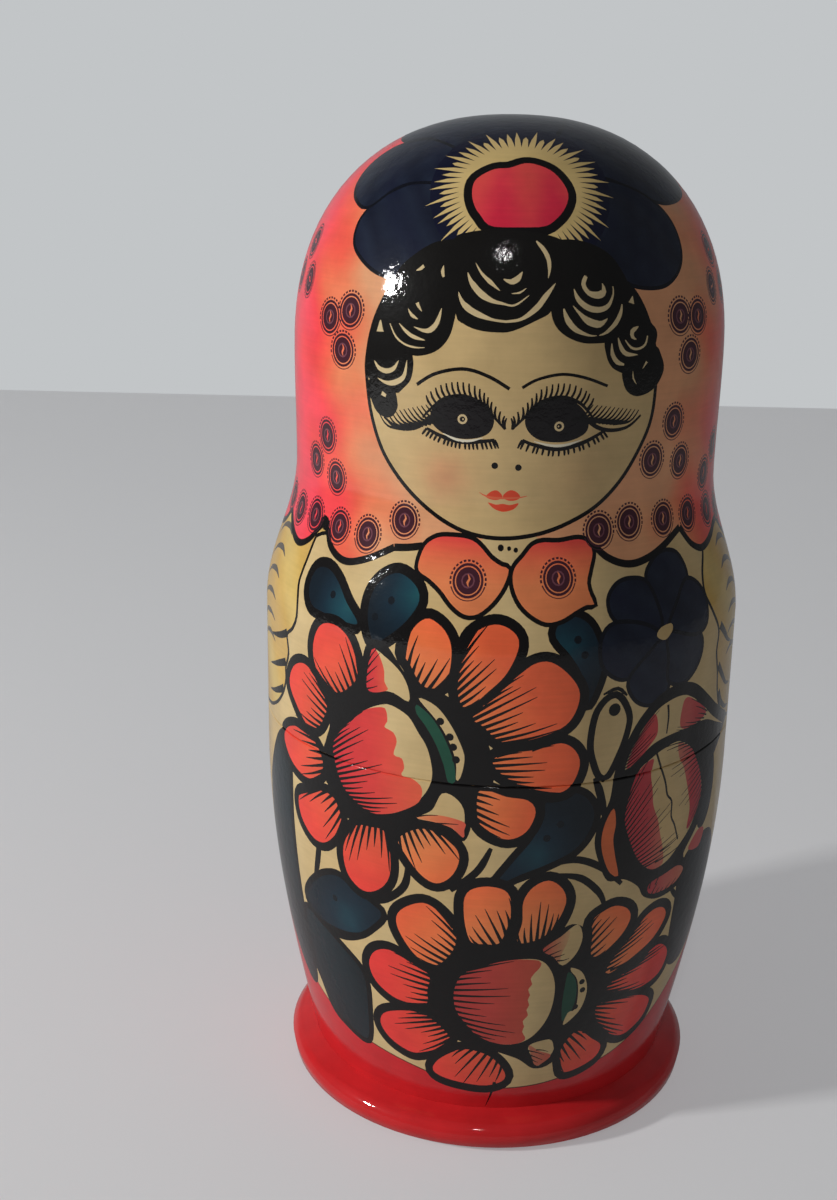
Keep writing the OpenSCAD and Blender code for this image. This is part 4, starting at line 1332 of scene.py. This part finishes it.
# =====================================================================================
# Seventh doll, 54 mm high, turned solid in one piece and painted like the others. Too small
# to hollow out, it has neither lip nor socket.
# =====================================================================================
t = turning(7)
whole = turned_skin("doll_7_solid_painted", t, True, True,
                    lambda x, z: np.where((z < WAIST)[:, None], DRESS_RED(x, z), KERCHIEF(x, z)),
                    apron(True) + dressed(t.tall, bouquet(t.tall)))
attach(whole, "doll_7_solid")
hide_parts("doll_7_solid")


# =====================================================================================
# Floor, wall, light and camera: a white sheet on a table before a pale wall, soft light from
# the left, and a camera a little above the doll.
# =====================================================================================
WALL_TONE, ROOM_TONE = "#c2c5c7", "#fbfcff"
bpy.ops.object.select_all(action="DESELECT")
bpy.ops.mesh.primitive_plane_add(size=2.06, location=(0, 0, 0))
floor = bpy.context.object
floor.name = "white_sheet"
bpy.ops.mesh.primitive_plane_add(size=6, location=(0, 1.03, 2.9), rotation=(math.pi / 2, 0, 0))
wall = bpy.context.object
wall.name = "pale_wall"
# the sheet is lit by the whole room, so the camera sees its far parts and its shadows pale
paper = new_material("white_sheet_matt")
seen = node(paper, "ShaderNodeLightPath")
room_light = node(paper, "ShaderNodeMapRange", [("Value", seen.outputs["Is Camera Ray"])],
                  To_Min=0.1, To_Max=0.28)
surface = node(
    paper, "ShaderNodeBsdfPrincipled", [("Emission Strength", room_light.outputs[0])],
    Base_Color=(*linear("#b4b4b4"), 1), Roughness=0.9, Emission_Color=(*linear(ROOM_TONE), 1))
node(paper, "ShaderNodeOutputMaterial", [("Surface", surface.outputs[0])])
floor.data.materials.append(paper)
# the wall is evenly lit from elsewhere in the room: it keeps its own tone where the camera sees it
plaster = new_material("pale_wall_matt")
seen = node(plaster, "ShaderNodeLightPath")
lit = node(plaster, "ShaderNodeEmission", Color=(*linear(WALL_TONE), 1), Strength=1.0)
matt = node(plaster, "ShaderNodeBsdfPrincipled", Base_Color=(*linear(WALL_TONE), 1), Roughness=0.9)
either = node(
    plaster, "ShaderNodeMixShader",
    [(0, seen.outputs["Is Camera Ray"]), (1, matt.outputs[0]), (2, lit.outputs[0])])
node(plaster, "ShaderNodeOutputMaterial", [("Surface", either.outputs[0])])
wall.data.materials.append(plaster)

world = bpy.data.worlds.new("soft_room")
bpy.context.scene.world = world
world.use_nodes = True
world.node_tree.nodes.clear()
# the room lights the doll weakly, and is as pale as the wall where the camera sees it
seen = node(world, "ShaderNodeLightPath")
room = node(world, "ShaderNodeBackground", Color=(*linear(ROOM_TONE), 1), Strength=0.12)
pale = node(world, "ShaderNodeBackground", Color=(*linear(WALL_TONE), 1), Strength=1.0)
either = node(
    world, "ShaderNodeMixShader",
    [(0, seen.outputs["Is Camera Ray"]), (1, room.outputs[0]), (2, pale.outputs[0])])
node(world, "ShaderNodeOutputWorld", [("Surface", either.outputs[0])])


def soft_lamp(name, spot, aim, size, power):
    """A square white lamp in metres and watts, turned towards a point."""
    lamp = bpy.data.lights.new(name, "AREA")
    lamp.shape, lamp.size, lamp.energy = "SQUARE", size, power
    lamp_object = bpy.data.objects.new(name, lamp)
    bpy.context.scene.collection.objects.link(lamp_object)
    lamp_object.location = spot
    lamp_object.rotation_euler = (Vector(aim) - Vector(spot)).to_track_quat("-Z", "Y").to_euler()


MIDDLE = (0, 0, 0.12)  # half way up the doll
soft_lamp("lamp_left", (-1.20, -0.50, 0.62), MIDDLE, size=0.12, power=14.3)
soft_lamp("lamp_above_camera", (-0.10, -1.25, 1.26), MIDDLE, size=0.06, power=1.6)

YAW, PITCH, ROLL = -0.0392, 0.2979, 0.0159  # how the camera is held, radians
level = math.cos(PITCH)
forward = Vector((math.sin(YAW) * level, math.cos(YAW) * level, -math.sin(PITCH)))
right = forward.cross(Vector((0, 0, 1))).normalized()
upward = right.cross(forward)
right, upward = (
    right * math.cos(ROLL) + upward * math.sin(ROLL),
    upward * math.cos(ROLL) - right * math.sin(ROLL))
lens = bpy.data.cameras.new("camera")
lens.sensor_fit, lens.sensor_height, lens.lens = "VERTICAL", 36.0, 45.83
camera = bpy.data.objects.new("camera", lens)
bpy.context.scene.collection.objects.link(camera)
turned = Matrix((right, upward, -forward)).transposed().to_4x4()
camera.matrix_world = Matrix.Translation((-0.0059, -0.3663, 0.2360)) @ turned
bpy.context.scene.camera = camera
bpy.context.scene.view_settings.view_transform = "Standard"
